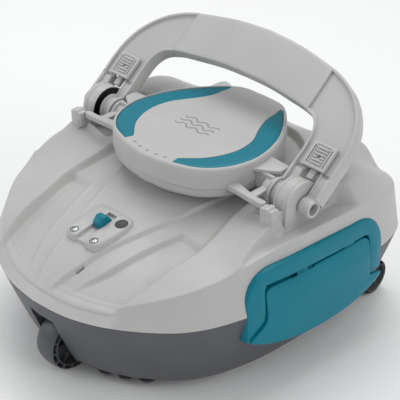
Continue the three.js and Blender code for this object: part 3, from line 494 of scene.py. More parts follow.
# One tree makes every row and ring of repeated parts.
def repeatTree(name):
    tree = bpy.data.node_groups.new(name, "GeometryNodeTree")
    for label, kind, way in (
        ("Geometry", "NodeSocketGeometry", "INPUT"),
        ("Count", "NodeSocketInt", "INPUT"),
        ("Step", "NodeSocketVector", "INPUT"),
        ("Turn", "NodeSocketVector", "INPUT"),
        ("Finish", "NodeSocketMaterial", "INPUT"),
        ("Geometry", "NodeSocketGeometry", "OUTPUT"),
    ):
        tree.interface.new_socket(label, in_out=way, socket_type=kind)
    given = addNode(tree, "NodeGroupInput").outputs
    line = addNode(tree, "GeometryNodeMeshLine", {"Count": given["Count"], "Offset": given["Step"]})
    number = addNode(tree, "GeometryNodeInputIndex").outputs[0]
    turn = addNode(tree, "ShaderNodeVectorMath", {0: given["Turn"], "Scale": number},
        operation="SCALE").outputs[0]
    placed = addNode(
        tree, "GeometryNodeInstanceOnPoints",
        {"Points": line.outputs[0], "Instance": given["Geometry"], "Rotation": turn}
    )
    real = addNode(tree, "GeometryNodeRealizeInstances", {0: placed.outputs[0]})
    dressed = addNode(tree, "GeometryNodeSetMaterial",
        {"Geometry": real.outputs[0], "Material": given["Finish"]})
    addNode(tree, "NodeGroupOutput", {0: dressed.outputs[0]})
    return tree


repeated = repeatTree("rowOrRingOfParts")


def rowOf(part, count, step=(0, 0, 0), turn=(0, 0, 0), finish=None):  # steps in millimetres, turns in radians
    obj = looseObject("row", part)
    made = obj.modifiers.new("repeat", "NODES")
    made.node_group = repeated
    values = {"Count": count, "Step": [v * mm for v in step], "Turn": list(turn),
        "Finish": (finish or shellGrey)["material"]}
    for socket in repeated.interface.items_tree:
        if socket.in_out == "INPUT" and socket.name in values:
            made[socket.identifier] = values[socket.name]
    return taken(applied(obj))


shell = {
    "edgeLine": [(0, -206), (28, -203.6), (51, -198), (77, -186), (107, -163), (131, -133), (142, -107),
        (150, -80),
                 (155, -48), (159, 0), (163, 50), (163, 90), (152, 121), (126, 135), (80, 139), (0, 140)],
    "hemLine": [(0, -215), (27, -212.6), (50, -207.5), (79, -195), (108, -175), (132, -152), (146, -129),
        (157, -98),
                (165, -58), (169, 0), (171, 50), (169, 95), (156, 128), (128, 143), (80, 147), (0, 148)],
    "crown": [(0, 102), (11, 110), (26, 118), (41, 124.5), (56, 129.5), (76, 134.5), (98, 138.5), (121, 143),
        (146, 148),
              (176, 151), (206, 153), (266, 161), (300, 167), (325, 156), (354, 138)],
    "lip": [(0, -206), (28, -203.6), (50, -198), (77, -186.5), (107, -163), (135, -130), (160, -90)],
    "innerStep": [(-206, 9), (-190, 13), (-175, 18), (-150, 24), (-105, 38), (-50, 54), (20, 66), (140, 70)],
    "outerStep": [(-206, 28), (-190, 31), (-165, 42), (-136, 50), (-105, 58), (-84, 64), (140, 66)],
    "outerStepEnd": -82,
    "innerDrop": 3.5,
    "outerDrop": 4.5,
    "stepWidth": 2.6,
    "bead": {"height": 0.7, "width": 1.3},
    "humpWidth": 9,
    "lipBand": 10.5,
    "drainSlot": {"x": 21, "y": -173.5, "width": 2.6, "length": 9, "turn": 12},
    "humpEdge": [(-206, 77), (-184, 79), (-156, 85), (-123, 88), (-89, 92), (-38, 86), (0, 86), (60, 100),
        (140, 112)],
    "crest": [(-206, 165), (-120, 156), (-95, 147), (-83, 141), (-41, 139), (38, 139), (80, 140), (140, 128)],
    "humpHeight": [(-206, 104), (-184, 111), (-161, 121), (-130, 130), (-90, 138.5), (-60, 146), (-38, 152),
        (0, 158),
                   (30, 167), (62, 174), (90, 168), (115, 152), (140, 137)],
    "crestHeight": [(-206, 104), (-184, 111), (-161, 121), (-130, 131), (-105, 137), (-83, 147), (-60, 158),
        (-41, 165),
                    (0, 165), (38, 166), (62, 173), (90, 167), (115, 152), (140, 137)],
    "edgeHeight": [(-206, 102), (-184, 110), (-161, 121), (-130, 131), (-107, 136.5), (-85, 142), (-60, 147),
        (0, 150),
                   (50, 150), (90, 147), (118, 142), (140, 138)],
    "underPod": 158,
    "hingeBay": {"x": 98, "front": -33, "rear": 44, "z": 153},
    "hem": 94.15,
    "wall": 3,
    "neck": 58,
    # inner face, kept clear of the steps
    "liner": ((0, 0), (0.05, 1), (0.14, 7), (0.3, 9), (0.5, 9), (0.75, 7), (1, 0)),
    "edgeRound": 1.3,
    "round": 720,
    "rings": 104,
}


def underPod(x, y):  # 1 on the pod's outline in plan, less inside it
    length = np.where(y < 0, 76, 95.5)
    power = np.where(y < 0, 2, 2.7)
    return ((np.abs(x) / 86) ** power + (np.abs(y) / length) ** power) ** (1 / power)


def shellHeight(x, y, s=shell):
    ax = np.abs(x)
    back = y - along(s["lip"], ax)

    def step(edge, width):
        return smooth((ax - edge) / width)

    inner = s["innerDrop"] * step(along(s["innerStep"], y), s["stepWidth"]) * smooth(back / 12)
    valley = smooth((s["outerStepEnd"] - y) / 8) * smooth(back / 45)
    outer = s["outerDrop"] * step(along(s["outerStep"], y), s["stepWidth"]) * valley
    bead = s["bead"]

    def ridge(edge):  # the thin raised line on top of a step
        return bead["height"] * np.exp(-(((ax - edge) / bead["width"]) ** 2)) * smooth((back - 6) / 10)

    lipLine = bead["height"] * np.exp(-(((back - s["lipBand"]) / bead["width"]) ** 2))
    lines = lipLine + ridge(along(s["innerStep"], y)) * smooth((-30 - y) / 20) + ridge(along(s["outerStep"],
        y)) * valley
    middle = along(s["crown"], back) - inner - outer + lines
    wall, crest = along(s["humpEdge"], y), along(s["crest"], y)
    rise = np.clip((ax - wall) / np.maximum(crest - wall, 1), 0, 1)
    hump = mix(along(s["humpHeight"], y), along(s["crestHeight"], y), rise * rise)
    soft = smooth((y - 15) / 45)
    humped = mix(middle, hump, step(wall - 18 * soft - 3, mix(s["humpWidth"], 36, soft)))
    dome = smooth((y - 40) / 16)
    opened = mix(humped, along(s["edgeHeight"], y), step(crest, mix(s["stepWidth"] + 1.4, 27, dome)))
    dished = mix(np.minimum(opened, s["underPod"]), opened, smooth((underPod(x, y) - 1.02) / 0.06))
    bay = s["hingeBay"]
    deep = step(bay["x"], 6) * smooth((y - bay["front"]) / 5) * smooth((bay["rear"] - y) / 14)
    return mix(dished, np.minimum(dished, bay["z"]), deep)


def outlineOf(rows, count):
    return evenly(bothSides(throughPoints(rows, 16)), count, closed=True)


def shellRings(s=shell):
    edge, hem = outlineOf(s["edgeLine"], s["round"]), outlineOf(s["hemLine"], s["round"])
    reach = np.linalg.norm(edge, axis=1, keepdims=True)
    hole = edge / reach * s["neck"]
    rings = []
    for t in np.linspace(1, 0, s["rings"]):
        flat = mix(edge - edge / reach * s["edgeRound"], hole, t)
        rings.append(np.column_stack([flat, shellHeight(flat[:, 0], flat[:, 1])]))
    rim = shellHeight(edge[:, 0], edge[:, 1])
    for down, out in ((0.25, 0.45), (0.8, 0.15), (s["edgeRound"], 0)):
        rings.append(np.column_stack([edge - edge / reach * out, rim - down]))
    for t in np.linspace(0.12, 1, 9):
        flat = mix(edge, hem, t)
        rings.append(np.column_stack([flat, mix(rim - s["edgeRound"], s["hem"], t)]))
    inside = hem * (1 - s["wall"] / np.linalg.norm(hem, axis=1, keepdims=True))
    rings.append(np.column_stack([inside, np.full(len(hem), s["hem"])]))
    for t, deeper in s["liner"]:
        flat = mix(edge * (1 - s["wall"] / reach), hole, t)
        rings.append(np.column_stack([flat, shellHeight(flat[:, 0], flat[:, 1]) - s["wall"] - deeper]))
    return rings


door = {
    "front": -94, "rear": 82, "top": 136, "foot": 72, "frontFoot": 64, "corner": 32,
    "proud": 0.8, "topProud": 0.4, "depth": 12, "gap": 1.2, "topGap": 2.8,
    "flapFront": -73, "flapRear": 63, "flapTop": 115, "flapBottom": 51, "flapCorner": 9,
    "flapThickness": 5, "flapEdge": 3, "bulge": 5.85, "sill": 62,
    "flareFrom": 64, "flareTo": 88,
    "hinge": {"x": 161.5, "z": 111, "barrel": 4, "sweep": 9, "skin": 1.0},
    "lugs": ((-42, -34.6), (-19.4, -12), (22, 29.4), (44.6, 52)),
    "knuckles": ((-34.1, -19.9), (29.9, 44.1)),
}
hemRows = [(y, x) for x, y in throughPoints(shell["hemLine"], 6) if x > 120]


def doorX(y, z):
    lip = door["proud"] + door["topProud"] * smooth((z - 92) / 18)
    return along(hemRows, y) + lip - 0.12 * np.maximum(0, z - 94)


def flapFaceX(y):  # the flap's outer face beside its hinge
    return float(doorX(y, door["hinge"]["z"])) - 0.5


def frontEdge(z):  # the flap's front edge sweeps forward below the frame's leg
    spread = 1 - smooth((z - door["flareFrom"]) / (door["flareTo"] - door["flareFrom"]))
    return mix(door["flapFront"], door["front"] + 1.5, spread ** 1.5)


def archLine(front, rear, foot, top, radius, steps=12):
    quarter = np.linspace(0, math.pi / 2, steps)
    rise = np.linspace(0, 1, 10)[:-1]
    rows = [(front, z) for z in mix(door["frontFoot"], top - radius, rise)]
    rows += [(front + radius * (1 - math.cos(a)), top - radius * (1 - math.sin(a))) for a in quarter]
    rows += [(y, top) for y in np.linspace(front + radius, rear - radius, 24)[1:-1]]
    rows += [(rear - radius * (1 - math.sin(a)), top - radius * (1 - math.cos(a))) for a in quarter]
    return np.array(rows + [(rear, z) for z in mix(top - radius, foot, np.linspace(0, 1, 10)[1:])])


def flapSweep(clear=0.0):  # the round space in which the flap's top edge turns
    d, h = door, door["hinge"]
    return drum(h["sweep"] + clear, d["flapFront"], d["flapRear"], (h["x"], 0, h["z"]), "y", 0.1, 80)


def doorFrame():
    d = door
    outer = archLine(d["front"], d["rear"], d["foot"], d["top"], d["corner"])
    inner = archLine(d["flapFront"] - d["gap"], d["flapRear"] + d["gap"], d["foot"],
        d["flapTop"] + d["topGap"], d["flapCorner"])
    leg = inner[:, 0] < -60
    inner[leg, 0] = np.maximum(np.minimum(inner[leg, 0], frontEdge(inner[leg, 1]) - d["gap"]),
        outer[leg, 0] + 0.6)
    section = [(0, d["depth"]), (0, 0.9), (0.02, 0.3), (0.06, 0), (0.5, 0), (0.92, 0), (0.97, 0.3), (1, 0.9),
        (1, d["depth"])]
    rings = []
    for a, b in zip(outer, inner):
        ring = []
        for share, deep in section:
            y, z = mix(a, b, share)
            ring.append((float(doorX(y, z)) - deep, y, z))
        rings.append(ring)
    h = d["hinge"]
    ring = carve(looseObject("frame", solid(*loft(rings, ends="cap"))), [flapSweep(0.6)])
    parts = [taken(ring)]
    for start, end in d["lugs"]:
        radius = min(h["barrel"], flapFaceX(start) - h["skin"] - 0.6 - h["x"])
        parts.append(drum(radius, start, end, (h["x"], 0, h["z"]), "y", 0.4, 32))
        parts.append(block((h["x"] - 7.5, h["x"]), (start, end), (h["z"] - 1.5, h["z"] + 1.5), 0.4))
        parts.append(block((h["x"] - 7.5, h["x"] - 4.8), (start, end),
            (h["z"] - 1.5, h["z"] + h["sweep"] + 3), 0.4))
    return joined(parts)


def sideFlap():
    d = door
    across, up = 46, 34
    rings = []
    shares = np.linspace(-1, 1, across)
    shares = 0.5 + 0.5 * np.sign(shares) * np.abs(shares) ** 0.8
    for w in mix(0, 1, smooth(np.linspace(0, 1, up)) * 0.5 + np.linspace(0, 1, up) * 0.5):
        sag = d["flapBottom"] + 8 * (2 * shares - 1) ** 2
        z = mix(sag, d["flapTop"], w)
        corner = d["flapCorner"] * (1 - math.sqrt(max(0, 1 - max(0, (w - 0.88) / 0.12) ** 2)))
        foot = 14 * (1 - float(smooth(w / 0.14))) ** 1.6
        zEnd = mix(d["flapBottom"] + 8, d["flapTop"], w)
        start = float(frontEdge(zEnd)) + corner + foot
        flare = 1 - float(smooth((w - 0.16) / 0.06))
        end = mix(d["flapRear"] - corner, d["rear"] - 2 - foot, flare)
        y = mix(start, end, shares)
        swell = d["bulge"] * (1 - w) ** 0.7 * np.sin(np.pi * mix(1 / 11, 10 / 11, shares)) ** 0.5
        face = doorX(y, z) - 1.8 + swell + 2 * math.sqrt(1 - w)
        thick = mix(d["flapEdge"], d["flapThickness"], float(smooth(w / 0.4)))
        front = np.column_stack([face, y, z])
        rear = np.column_stack([face - thick, y, z])[::-1]
        rings.append(np.vstack([front, rear]))
    leaf = solid(*loft(rings, ends="cap"), 0.9, 3, 50)
    h = d["hinge"]
    corner = block((h["x"], h["x"] + 20), (d["front"], d["rear"]), (h["z"], 130))
    rounded = taken(carve(looseObject("corner", corner), [flapSweep()]))
    pockets = [pocketBehindSkin(a - 0.5, b + 0.5) for a, b in d["lugs"]]
    tabs = [knuckleTab(a + 0.4, b - 0.4) for a, b in d["knuckles"]]
    barrels = [drum(h["barrel"], a, b, (h["x"], 0, h["z"]), "y", 0.4, 32) for a, b in d["knuckles"]]
    return leaf, [rounded] + pockets, tabs + barrels


def pocketBehindSkin(start, end):  # room for a hinge lug, with the flap's face left whole in front of it
    h = door["hinge"]
    return block((h["x"] - 12, min(h["x"] + h["barrel"] + 0.6, flapFaceX(start) - h["skin"])), (start, end),
        (h["z"] - 6, 130))


def knuckleTab(start, end):  # fills the gap above the flap between two lugs
    d, h = door, door["hinge"]
    rows = []
    for y in (start, end):
        face = float(doorX(y, d["flapTop"])) - 1.9
        lid = d["flapTop"] + d["topGap"] - 0.7
        rows.append([(face - 3, y, h["z"]), (face, y, h["z"]), (face - 0.6, y, lid), (face - 3, y, lid)])
    return solid(*loft(rows, ends="cap"), 0.4)


def doorHole():
    d = door
    line = archLine(d["front"] - 0.3, d["rear"] + 0.3, d["sill"], d["top"] + 0.3, d["corner"])
    return plateAcross(line, 118, 200)


def plateAcross(rows, low, high, bevel=0.0):  # [y, z] outline pulled along X
    rows = np.asarray(rows, float)
    rings = [np.column_stack([np.full(len(rows), x), rows]) for x in (low, high)]
    return solid(*loft(rings, ends="cap"), bevel)


slot = shell["drainSlot"]
slotCut = block((-slot["width"] / 2, slot["width"] / 2), (-slot["length"] / 2, slot["length"] / 2),
    (100, 150), 0.3)
slotCut = moved(slotCut,
    Matrix.Translation((slot["x"], slot["y"], 0)) @ Matrix.Rotation(math.radians(-slot["turn"]), 4, "Z"))
top = piece("topShell", solid(*loft(shellRings(), ends="join")), shellGrey, stands=["top_shell"], sharp=60,
            cuts=[handed(doorHole(), side) for _, side in bothHands] + [slotCut])
print("top shell:", len(top.data.polygons), "faces")


hull = {
    "floor": 13, "top": 93.85, "draft": 0.85, "wall": 3, "round": 420,
    "frontWell": {"half": 18, "rear": -142, "top": 73},
    "rearWell": {"x": (118, 160), "y": (96, 160), "top": 46},
    "intake": {"x": 46, "y": (-62, -30)},
}


def hullRing(z, inset=0.0, pinch=0.0):
    hem = outlineOf(shell["hemLine"], hull["round"])
    scale = mix(hull["draft"], 1,
        ((z - hull["floor"]) / (94 - hull["floor"])) ** 0.85) if z > hull["floor"] else hull["draft"]
    flat = hem * scale
    flat = flat * (1 - (inset + pinch) / np.linalg.norm(flat, axis=1, keepdims=True))
    return np.column_stack([flat, np.full(len(flat), z)])


def hullBody():
    h = hull
    outer = [hullRing(h["floor"], 0, 5), hullRing(h["floor"] + 0.6, 0, 3), hullRing(h["floor"] + 2, 0, 1.2)]
    outer += [hullRing(z) for z in np.linspace(h["floor"] + 5, h["top"] - 0.8, 18)]
    outer += [hullRing(h["top"] - 0.2, 0, 0.15), hullRing(h["top"], 0, 0.8)]
    inner = [hullRing(z, h["wall"]) for z in (h["top"], 72, 50, 30, h["floor"] + h["wall"])]
    return solid(*loft(outer + inner, ends="cap"))


def wells(grow=0.0, reach=0.0):  # the three wheel wells, or the liners round them
    f, r = hull["frontWell"], hull["rearWell"]
    half, back, top = f["half"] + grow, f["rear"] + grow, f["top"] + grow
    front = []
    for z, wide, rear in ((-1, half + 1.5, back), (top - 6, half, back), (top, half - 1, back - 4)):
        front.append([(-wide, -232, z), (wide, -232, z), (half - 1, rear, z), (1 - half, rear, z)])
    rearOne = block((r["x"][0] - grow, r["x"][1] + reach), (r["y"][0] - grow, r["y"][1] + reach),
        (-1, r["top"] + grow))
    return [solid(*loft(front, ends="cap")), rearOne, mirrored(rearOne)]


def hullBlock(inset=0.2):
    return solid(*loft([hullRing(z, inset) for z in (hull["floor"] + 0.2, 18, 24, 36, 52, 72, hull["top"])],
        ends="cap"))


k = hull["intake"]
doorways = [handed(doorHole(), side) for _, side in bothHands]
tub = piece("hullTub", hullBody(), hullGrey, stands=["base_hull"], sharp=35,
            cuts=wells() + doorways + [block((-k["x"], k["x"]), k["y"], (0, 30))])
liners = []
for number, liner in enumerate(wells(3, 6)):
    obj = carve(looseObject("liner", liner), [hullBlock()], operation="INTERSECT")
    carve(obj, [wells()[number]])
    liners.append(taken(obj))
piece("wheelWellLiners", liners, hullGrey, sharp=35)
print("hull:", len(tub.data.polygons), "faces")

for name, side in bothHands:
    piece("doorFrame." + name, handed(doorFrame(), side), teal, stands=["door_frame_" + name], sharp=40)
    leaf, notches, tabs = sideFlap()
    cutLeaf = taken(carve(looseObject("leaf", leaf), notches))
    piece("sideFlap." + name, handed(joined([cutLeaf] + tabs), side), teal, "flap_" + name,
        ["side_flap_" + name], sharp=40)
print("doors made")


frontWheel = {"radius": 30, "width": 26, "y": -177, "axle": 3, "pockets": 14, "dip": 8}
rearWheel = {"radius": 20, "width": 16, "x": 130, "y": 122, "axle": 3, "pockets": 10, "dip": 5}


def wheelParts(w, place):
    r, h = w["radius"], w["width"] / 2
    hub, dip = w["axle"] + 0.5, w["dip"]
    half = [(hub + 4, 2.2), (r * 0.74, 2.2), (r * 0.76, 3), (r * 0.765, h - 0.6), (r * 0.775, h),
        (r * 0.8, h), (r * 0.81, h - 0.6),
            (r * 0.81, h - dip), (r * 0.93, h - dip), (r * 0.93, h - 1.2), (r * 0.94, h - 0.9)]
    shoulder = 0.79
    crown = [(r * math.cos(t) ** 0.16,
        (h - 0.9) * math.sin(t) / math.sin(shoulder)) for t in np.linspace(shoulder, -shoulder, 21)]
    hubPart = [(hub, -h + 4.4), (hub + 0.4, -h + 4), (hub + 3.6, -h + 4), (hub + 4, -h + 4.4)]
    rows = half + [(min(a, r), b) for a, b in crown] + [(a, -b) for a, b in half[::-1]]
    rows += hubPart[::-1] + [(a, -b) for a, b in hubPart]
    disc = turned(rows, place, "x", 96)
    ribs = []
    for face in (1, -1):
        rib = block((-0.8, 0.8), (r * 0.8, r * 0.935), sorted((face * (h - dip), face * (h - 0.4))), 0.3)
        ring = rowOf(moved(rib, Matrix.Rotation(math.pi / 2, 4, "Y")), w["pockets"],
            turn=(2 * math.pi / w["pockets"], 0, 0), finish=wheelGrey)
        ribs.append(moved(ring, Matrix.Translation(place)))
    spoke = block((-1, 1), (hub + 3, r * 0.77), (-h * 0.55, h * 0.55), 0.5)
    spokes = rowOf(moved(spoke, Matrix.Rotation(math.pi / 2, 4, "Y")), 6, turn=(math.pi / 3, 0, 0),
        finish=wheelGrey)
    return [disc, moved(spokes, Matrix.Translation(place))] + ribs


piece("frontWheel", wheelParts(frontWheel, (0, frontWheel["y"], frontWheel["radius"])), wheelGrey,
    "wheel_front", ["front_wheel"])
for name, side in bothHands:
    place = (side * rearWheel["x"], rearWheel["y"], rearWheel["radius"])
    piece("rearWheel." + name, wheelParts(rearWheel, place), wheelGrey, "wheel_" + name,
        ["rear_wheel_" + name])
print("wheels made")


underside = {"skids": ((46, -167), (64, -159), (81, -148)), "slats": 15, "slatWidth": 2.4}
for name, side in bothHands:
    runner = plate(softened([(38, -172), (88, -147), (82, -138), (34, -163)], 4), 10, 12.7, 0.5)
    lobe = [(0.01, 7.2), (4, 7.3), (6.5, 8.4), (8.3, 10.4), (9, 12.6), (0.01, 12.7)]
    lobes = [turned(lobe, (x, y, 0), "z", 40, closed=False) for x, y in underside["skids"]]
    piece("skid." + name, handed(joined([runner] + lobes), side), hullGrey, stands=["skid_" + name])
low, high = ((x / mm, (y - podShift) / mm, z / mm) for x, y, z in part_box("intake_grille"))
x0, y0, z0 = low
x1, y1, z1 = high
rim = plate(softened([(x0, y0), (x1, y0), (x1, y1), (x0, y1)], 8, 6), z0, z1, 0.6)
mouth = (hull["intake"]["x"] - 4, hull["intake"]["y"][0] + 4, hull["intake"]["y"][1] - 4)
window = plate(softened([(-mouth[0], mouth[1]), (mouth[0], mouth[1]), (mouth[0], mouth[2]),
    (-mouth[0], mouth[2])], 4), 0, 20)
slat = block((-underside["slatWidth"] / 2, underside["slatWidth"] / 2), (mouth[1] - 2, mouth[2] + 2),
    (z0 + 0.3, z1), 0.4)
pitch = 2 * mouth[0] / (underside["slats"] + 1)
slats = rowOf(moved(slat, Matrix.Translation((pitch - mouth[0], 0, 0))), underside["slats"], (pitch, 0, 0),
    finish=innerGrey)
frameOnly = taken(carve(looseObject("grille", rim), [window]))
screwDome = turned([(0.01, -0.6), (2.6, -0.5), (3, 0), (3, 0.3), (0.01, 0.3)], (x0 + 8, y0 + 8, z0), "z", 24,
    closed=False)
screwRow = rowOf(screwDome, 2, (x1 - x0 - 16, 0, 0), finish=innerGrey)
piece("intakeGrille", [frameOnly, slats, screwRow], innerGrey, stands=["intake_grille"])
print("underside made")


pod = {
    "top": 193.9, "bottom": 161, "split": 172, "neck": 57, "wall": 4,
    "line": [(0, -76), (31, -71.5), (59, -60), (77, -40), (85.5, -12), (84, 10), (75, 38), (60, 62), (40, 84),
        (26, 93), (0, 95)],
    "crescentInner": [(31, -58), (50, -37), (60, -10), (58, 15), (46, 38), (38, 57), (36, 72), (34, 82)],
    "crescentOuter": [(33, -67), (57, -57), (74, -38), (82, -12), (80.5, 10), (72, 36), (57.5, 59),
        (38.5, 81)],
    "crescentDepth": 2, "roll": 0.9,
    "lamps": ((-21, -65), (-11, -67.3), (0, -68.2), (11, -67.3), (21, -65)),
    "dip": 1.6, "round": 360,
}


def podLine(count=None):
    return outlineOf(pod["line"], count or pod["round"])


def podSurface(x, y):  # the lid sinks a little inside its rim, and slopes off towards the flat at the rear
    share = np.hypot(x / 86, np.where(y < 0, y / 76, y / 95))
    rim = 0.5 * smooth((0.93 - share) / 0.06)
    fall = pod["dip"] * smooth((y - 34) / 46) * smooth((0.86 - share) / 0.3)
    return pod["top"] - rim - fall


def podLid():
    line = podLine()
    reach = np.linalg.norm(line, axis=1, keepdims=True)
    rings = []
    for s in (0.02, 0.6, 1):
        flat = line * (1 - 4 / reach) * s
        rings.append(np.column_stack([flat, np.full(len(flat), pod["top"] - 5.0)]))
    for inset, z in ((4, pod["split"]), (0.5, pod["split"]), (0, pod["split"] + 0.5), (0, 176), (0, 183),
        (0, pod["top"] - 3.2),
                     (0.25, pod["top"] - 2.0), (0.9, pod["top"] - 0.9), (1.8, pod["top"] - 0.25),
                     (2.8, pod["top"])):
        rings.append(np.column_stack([line * (1 - inset / reach), np.full(len(line), z)]))
    for s in np.linspace(1, 0.02, 70)[1:]:
        flat = line * (1 - 2.8 / reach) * s
        rings.append(np.column_stack([flat, podSurface(flat[:, 0], flat[:, 1])]))
    return solid(*loft(rings, ends="cap"))


def crescentLines(count=70):
    return evenly(throughPoints(pod["crescentOuter"], 12),
        count), evenly(throughPoints(pod["crescentInner"], 12), count)


def crescentHole():
    outer, inner = crescentLines()
    return plate(offset(np.vstack([outer, inner[::-1]]), 0.35), pod["top"] - 2.4, pod["top"] + 2)


def crescent():
    outer, inner = crescentLines()
    rings = []
    for a, b in zip(outer, inner):
        ring = []
        wide = max(np.linalg.norm(a - b), 1)
        for share in (0, 0.012, 0.04, 0.1, 0.17, 0.2, 0.24, 0.4, 0.6, 0.8, 0.94, 0.985, 1):
            x, y = mix(a, b, share)
            roll = pod["roll"] * (1 - float(smooth(share / 0.2))) * min(1, wide / 14)
            edge = 0.5 * max(0, 1 - min(share, 1 - share) * wide / 0.6)
            ring.append((x, y, min(float(podSurface(x, y)), pod["top"] - 0.1) + 0.1 - roll - edge))
        low = pod["top"] - pod["crescentDepth"]
        ring += [(*b, low), (*a, low)]
        rings.append(ring)
    return solid(*loft(rings, ends="cap"), 0)


lampHoles = [turned([(0.01, -7), (1.35, -7), (1.35, -1.0), (2.1, 0.2), (2.1, 2), (0.01, 2)],
    (x, y, pod["top"] - 0.2), "z", 24, closed=False)
             for x, y in pod["lamps"]]
piece("podLid", podLid(), shellGrey, stands=["pod_cover"], sharp=40,
      cuts=[crescentHole(), mirrored(crescentHole())] + lampHoles)


def podTub():
    line = podLine()
    reach = np.linalg.norm(line, axis=1, keepdims=True)

    def ring(inset, z):
        return np.column_stack([line * (1 - inset / reach), np.full(len(line), z)])

    def neck(radius, z):
        return np.column_stack([line / reach * radius, np.full(len(line), z)])

    n, b, s = pod["neck"], pod["bottom"], pod["split"] - 0.3
    rings = [neck(n, 128), neck(n, b - 2), neck(n + 2, b - 1.2), ring(9, b - 0.6), ring(5.5, b),
        ring(3.4, b + 0.8),
             ring(2, b + 2.4), ring(1.4, b + 5), ring(1.0, s - 0.6), ring(1.5, s), ring(4, s), ring(6, b + 3),
             neck(n - 4, b + 3), neck(n - 4, 131)]
    return solid(*loft(rings, ends="cap"))


piece("podTub", podTub(), shellGrey, stands=["pod_lower"], sharp=40, cuts=[drum(10, 120, 140, axis="z")])
for name, side in bothHands:
    piece("crescent." + name, handed(crescent(), side), teal, stands=["crescent_" + name], sharp=40)


# Raised waves on the lid, a plain water motif.
mark = {"waves": 3, "length": 46, "height": 2.2, "gap": 7.5, "width": 1.5, "at": (-2, 0)}


def waveLine():
    x = np.linspace(-mark["length"] / 2, mark["length"] / 2, 60)
    y = mark["height"] * np.sin(x / mark["length"] * 6 * math.pi)
    line = np.column_stack([x, y])
    run = np.gradient(line, axis=0)
    out = np.column_stack([-run[:, 1], run[:, 0]]) / np.linalg.norm(run, axis=1, keepdims=True)
    rings = []
    for p, n, t in zip(line, out, np.linspace(0, 1, 60)):
        half = mark["width"] / 2 * min(1, 12 * min(t, 1 - t) + 0.25)
        rings.append([(*(p + n * half * u), z) for u,
            z in ((-1, -0.8), (-1, 0.05), (-0.6, 0.3), (0.6, 0.3), (1, 0.05), (1, -0.8))])
    wave = solid(*loft(rings, ends="cap"))
    place = Matrix.Translation((mark["at"][0], mark["at"][1] - mark["gap"], pod["top"] - 0.5))
    return moved(wave, place)


piece("lidWaves", rowOf(waveLine(), mark["waves"], (0, mark["gap"], 0), finish=markGrey), markGrey)
print("pod made")


panel = {
    "y": -131, "z": 138.8, "tilt": 9,
    "outline": [(5.8, -24), (8, -26), (18, -26), (22.5, -21), (25, -8), (26, 12), (24, 21), (19, 25)],
    "toggle": {"y": 4, "half": 7.5, "width": 5.4}, "screw": {"x": 14, "y": -19.5, "r": 4},
    "port": {"x": 17, "y": 13, "r": 6.2},
}
tilted = Matrix.Translation((0, panel["y"], panel["z"])) @ Matrix.Rotation(math.radians(panel["tilt"]), 4,
    "X")


def switchPlate():
    half = np.array(panel["outline"], float)
    ring = softened(np.vstack([half, half[::-1] * [-1, 1]]), 7, 5)
    rings = []
    for grow, z in ((2.2, -12), (2.2, -6.2), (1.6, -4.6), (0.6, -1.4), (0, -0.5), (-0.6, 0)):
        rings.append(np.column_stack([offset(ring, grow - 1.2), np.full(len(ring), z)]))
    return solid(*loft(rings, ends="cap"))


t, s, q = panel["toggle"], panel["screw"], panel["port"]
groove = block((-t["width"] - 0.5, t["width"] + 0.5), (-40, 18), (-3.6, 6), 0.0)
screwWells = [drum(s["r"] + 0.5, -1.7, 4, (side * s["x"], s["y"], 0), "z", 0.2, 40) for _, side in bothHands]
portWell = drum(q["r"] + 0.4, -3, 4, (q["x"], q["y"], 0), "z", 0.2, 48)
bored = carve(looseObject("plate", switchPlate()), [groove, portWell] + screwWells)
piece("switchPlate", moved(taken(bored), tilted), shellGrey, stands=["switch_plate"], sharp=40)
head = [(0.01, -1.6), (3.2, -1.6), (4, -0.7), (3.7, 0.3), (2.6, 0.95), (1.4, 1.15), (0.01, 1.2)]
for name, side in bothHands:
    at = (side * s["x"], s["y"], 0)
    cross = [block((at[0] - 2.2, at[0] + 2.2), (at[1] - 0.45, at[1] + 0.45), (0.2, 3)),
        block((at[0] - 0.45, at[0] + 0.45), (at[1] - 2.2, at[1] + 2.2), (0.2, 3))]
    screw = taken(carve(looseObject("screw", turned(head, at, "z", 40, closed=False)), cross))
    piece("plateScrew." + name, moved(screw, tilted), steel, stands=["plate_screw_" + name])
rocker = [(-t["half"], -3), (t["half"], -3), (t["half"], 0.8), (3.4, 7.2), (-1.8, 8.3), (-t["half"], 3)]
knob = plateAcross([(y + t["y"], z) for y, z in rocker], -t["width"] + 0.1, t["width"] - 0.1)
bmesh.ops.bevel(knob, geom=knob.edges[:], offset=0.8, segments=2, profile=0.5, affect="EDGES",
    clamp_overlap=True)
piece("powerToggle", moved(knob, tilted), teal, "switch", ["power_switch"])
plug = [(0.01, -2.6), (q["r"], -2.6), (q["r"], -0.3), (q["r"] - 0.5, 0.3), (q["r"] - 1.4, 0.45),
    (q["r"] - 1.9, 0.05), (q["r"] - 2.6, 0.05), (q["r"] - 3.1, 0.7), (0.01, 0.9)]
piece("chargingPlug", moved(turned(plug, (q["x"], q["y"], 0), "z", 48, closed=False), tilted), portGrey,
    "port_cap", ["charging_cap"])
print("switch plate made")


